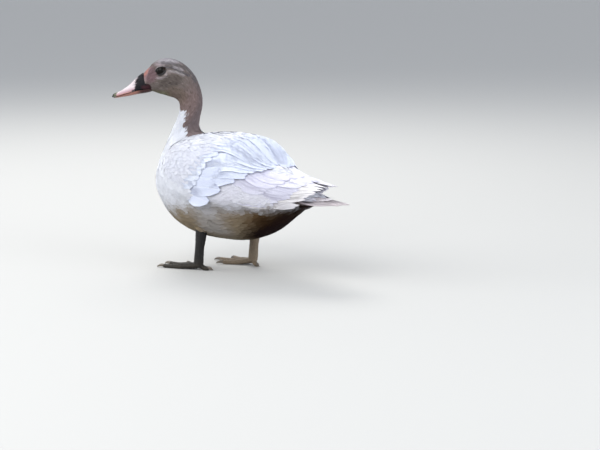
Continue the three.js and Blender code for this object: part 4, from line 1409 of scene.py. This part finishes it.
bill_finish = Finish("bill", Roughness=0.45, Coat_Weight=0.02, Coat_Roughness=0.3, Specular_IOR_Level=0.1)
fine, broad, pits = bill_finish.noise(1200.0, 4.0), bill_finish.noise(260.0), bill_finish.cells(1600.0)
stain = bill_finish.mix(broad, (0.72, 0.66, 0.66), (1.0, 1.0, 1.0))
bill_finish.set("Base Color", bill_finish.mix(fine * 0.6 + 0.2, bill_finish.tint(), stain, "MULTIPLY"))
bill_finish.set("Roughness", fine * 0.3 + 0.3)
bill_finish.bump(fine * 0.5 + pits * 0.35 + broad * 0.6, 0.00035)
for name, rule in (("bill_upper", upper_bill), ("bill_lower", lower_bill)):
    piece = moulded_ball(96, 120, rule)
    tinted(piece, bill_colours(turned(measured(piece), -HEAD_TURN), rule is upper_bill))
    kept(f"{name}_horn", shaded_smooth(piece), bill_finish, "bill", name)

# %% [markdown]
# Each leg is one piece from the hock to the toes. Its tubes and webs are joined by a remesh, which leaves
# no seams at the ankle.

# %% Form of the legs
SHANK = (
    [(-4, -1, 66), (-4.5, -0.5, 50), (-2, 0, 30), (-0.5, 0, 14), (0, 0, 4)],
    [(8.2, 7.0), (8.4, 6.8), (7.0, 5.6), (7.2, 6.2), (6.0, 5.8)],
)
TOES = {"inner": (-28, 45, 9), "middle": (-4, 60, 10), "outer": (19, 55, 9), "hind": (-156, 15, 6)}  # claw last
TOE_SIZES = [(4, 4.2), (3.6, 3.5), (3.3, 3.2), (2.7, 2.6)]


def toe_path(name, reach=1.0):
    angle, length, _ = TOES[name]
    root_height, a = 7.6 if name == "hind" else 7.0, math.radians(angle)
    return [
        (math.cos(a) * length * s * reach, math.sin(a) * length * s * reach, lerp(root_height, 2.8, min(1, s * 1.6)))
        for s in (0, 0.3, 0.65, 1)
    ]


def web_piece(side):
    """The webs: a fan of points between the toes, with scooped front edges."""
    ends = np.array([toe_path(name, 0.95)[-1] for name in ("inner", "middle", "outer")])
    obj = grid(48, 24)
    p = coordinates(obj)
    fan, reach = p[:, 0] + 1, (p[:, 1] + 1) / 2
    pair = np.minimum(fan.astype(int), 1)
    f = fan - pair
    scoop = 1 - 0.2 * np.sin(np.pi * f) ** 0.8
    edge = lerp(ends[pair], ends[pair + 1], f[:, None]) * scoop[:, None]
    flat = lerp(np.array([-2.0, 0, 0]), edge, reach[:, None])
    flat[:, 2] = 2.0 + 1.4 * (1 - reach) + 0.4 * np.sin(np.pi * f) * reach * (1 - 0.4 * reach)
    put(obj, (flat + (*FEET[side], 0)) * (1, side, 1))
    modified(obj, "SOLIDIFY", thickness=1.5 * MM, offset=0)
    outwards(obj)
    return obj


def plain_leg(side):
    tubes = [moulded_ball(32, 60, limb_rule(*SHANK, FORWARD, side))]
    tubes += [moulded_ball(24, 40, limb_rule(toe_path(name), TOE_SIZES, UPWARD, side)) for name in TOES]
    leg = joined([*tubes, web_piece(side)])
    modified(leg, "REMESH", mode="VOXEL", voxel_size=0.62 * MM)
    modified(leg, "SMOOTH", factor=0.5, iterations=4)
    return leg


# %% [markdown]
# Then the scales are pressed into the surface: broad plates across the front of the shank and the tops of
# the toes, and small uneven ones elsewhere. Every corner moves along its normal by the depth there.

# %% Scales and finish of the legs


def plates(along, size, low):
    """1 in the grooves between plates that follow each other along a limb"""
    return smooth(np.abs((along / size) % 1 - 0.5) * 2, low, 0.98)


def scaled_leg(side):
    leg = plain_leg(side)
    foot = (*FEET[side], 0)
    p = measured(leg) * (1, side, 1) - foot
    normals = np.array([v.normal for v in leg.data.vertices]) * (1, side, 1)
    press = np.zeros(len(p))
    for name, (angle, length, _) in TOES.items():
        a = math.radians(angle)
        along = p[:, 0] * math.cos(a) + p[:, 1] * math.sin(a)
        across = p[:, 1] * math.cos(a) - p[:, 0] * math.sin(a)
        on_toe = smooth(np.abs(across), 4.0, 2.6) * smooth(along, 5, 9) * smooth(along, length + 3, length - 1)
        top = smooth(normals[:, 2], 0.15, 0.6) * (p[:, 2] > 2.2)
        press -= 0.42 * on_toe * top * plates(along + 0.05 * across**2, 2.3, 0.66)
        knuckles = 2 if name == "hind" else 4
        press += 0.35 * on_toe * smooth(np.cos(along / length * np.pi * knuckles), 0.1, 1)
    front = smooth(normals[:, 0], 0.0, 0.5) * smooth(p[:, 2], 9, 14)
    press -= 0.4 * front * plates(p[:, 2] - 0.06 * p[:, 1] ** 2, 3.3, 0.7)
    press += 0.12 * waves(p, 2.6, 31) * (1 - front)
    p = (p + normals * press[:, None] + foot) * (1, side, 1)
    p[:, 2] = np.maximum(p[:, 2], 0.0)
    put(leg, p)
    outwards(leg)
    return shaded_smooth(leg)


def leg_finish(name, dark, pale, dusty):
    finish = Finish(name, Roughness=0.55, Coat_Weight=0.03, Coat_Roughness=0.35, Specular_IOR_Level=0.25)
    dust = finish.noise(140.0, 3.0)
    base = finish.mix(finish.cells(620.0) * 0.9, linear(*dark), linear(*pale))
    low = 1 - finish.parts(finish.place())["Z"].between(0.0, 0.02)
    finish.set("Base Color", finish.mix(low * dust * 0.7, base, linear(*dusty)))
    finish.set("Roughness", dust * 0.3 + 0.38)
    finish.bump(finish.cells(620.0, "DISTANCE_TO_EDGE").between(0.0, 0.12) * 0.8 + dust * 0.3, 0.0005)
    return finish


near_leg = leg_finish("near_leg", (12, 12, 12), (30, 29, 28), (70, 62, 50))
far_leg = leg_finish("far_leg", (104, 92, 78), (136, 122, 104), (112, 96, 76))
for side, finish, slot in ((1, near_leg, "near_leg"), (-1, far_leg, "far_leg")):
    name = SIDES[side]
    kept(f"leg_{name}", scaled_leg(side), finish, slot, f"shank_{name}", f"foot_{name}")

# %% [markdown]
# A claw is a short curved cone of dark horn that goes on where the toe ends. It is the same kind of limb
# as the toe, moulded from a ball along a path that bends down to the floor.

# %% Claws
CLAW_SIZES = [(2.1, 1.9), (2.2, 1.9), (1.5, 1.2), (0.4, 0.35)]


def claw_rule(name, side):
    angle, _, reach = TOES[name]
    x, y, z = toe_path(name)[-1]
    a = math.radians(angle)
    steps = (-4, z), (0, z + 0.8), (reach * 0.6, z - 0.2), (reach, 0.9)
    path = [(x + math.cos(a) * step, y + math.sin(a) * step, height) for step, height in steps]
    return limb_rule(path, CLAW_SIZES, UPWARD, side)


claw_finish = Finish("claw", Roughness=0.35)
horn = claw_finish.noise(500.0, 3.0)
claw_finish.set("Base Color", claw_finish.mix(horn, linear(40, 36, 34), linear(120, 110, 96)))
claw_finish.bump(horn, 0.0002)
for side, name in SIDES.items():
    piece = joined([moulded_ball(20, 24, claw_rule(toe, side)) for toe in TOES])
    p = measured(piece)
    p[:, 2] = np.maximum(p[:, 2], 0.0)
    put(piece, p)
    kept(f"claws_{name}", shaded_smooth(piece), claw_finish, "claw", *[f"claw_{name}_{toe}" for toe in TOES])

# %% [markdown]
# The stage is a pale floor under soft studio light: a large lamp above and to the left of the camera, one
# further left, a weaker one from the right, and one behind that draws the bright rim of the back.

# %% Stage
alone()
bpy.ops.mesh.primitive_plane_add(size=60, location=(0, 0, 0))
floor = bpy.context.object
floor.name = "studio_floor"
floor.data.materials.append(Finish("studio_floor", Roughness=0.9, Base_Color=(*linear(166, 166, 164), 1)).material)

# %% Camera
AZIMUTH, ELEVATION, DISTANCE = math.radians(220), math.radians(9), 2.8
AIM_RIGHT, AIM_UP = 0.1036, 0.0595  # the bird stands left of the picture's middle and above it
away = Vector((
    math.sin(AZIMUTH) * math.cos(ELEVATION), -math.cos(AZIMUTH) * math.cos(ELEVATION), math.sin(ELEVATION),
))
right = Vector((-away.y, away.x, 0)).normalized()
target = Vector((*SHIFT[:2], 0)) + right * AIM_RIGHT + away.cross(right) * AIM_UP
bpy.ops.object.camera_add(location=target + away * DISTANCE)
camera = bpy.context.object
camera.rotation_euler = away.to_track_quat("Z", "Y").to_euler()
camera.data.sensor_width, camera.data.lens = 36, 120
bpy.context.scene.camera = camera

# %% Light
LAMPS = {  # towards the camera, to the right, up, size, power, colour
    "key": (1.5, -1.0, 1.4, 1.8, 43, (1.0, 0.99, 0.97)),
    "front": (0.1, -2.2, 1.0, 1.6, 31, (1.0, 0.995, 0.985)),
    "fill": (1.2, 1.7, 0.45, 1.6, 30, (0.95, 0.97, 1.0)),
    "rim": (-1.5, -0.3, 2.0, 1.2, 36, (1.0, 0.98, 0.94)),
}
for name, (near_by, aside, up, size, power, colour) in LAMPS.items():
    place = away * near_by + right * aside + Vector((0, 0, up))
    bpy.ops.object.light_add(type="AREA", location=place)
    light = bpy.context.object
    light.name = name
    light.data.shape, light.data.size, light.data.energy, light.data.color = "DISK", size, power, colour
    light.rotation_euler = (place - Vector((0, 0, 0.13))).to_track_quat("Z", "Y").to_euler()
world = bpy.data.worlds.new("soft_room")
bpy.context.scene.world = world
world.use_nodes = True
world.node_tree.nodes["Background"].inputs["Color"].default_value = (0.88, 0.92, 1.0, 1)
world.node_tree.nodes["Background"].inputs["Strength"].default_value = 1.0
bpy.context.scene.view_settings.view_transform = "Standard"
alone()
print(len(LAMPS), "lamps are lit")
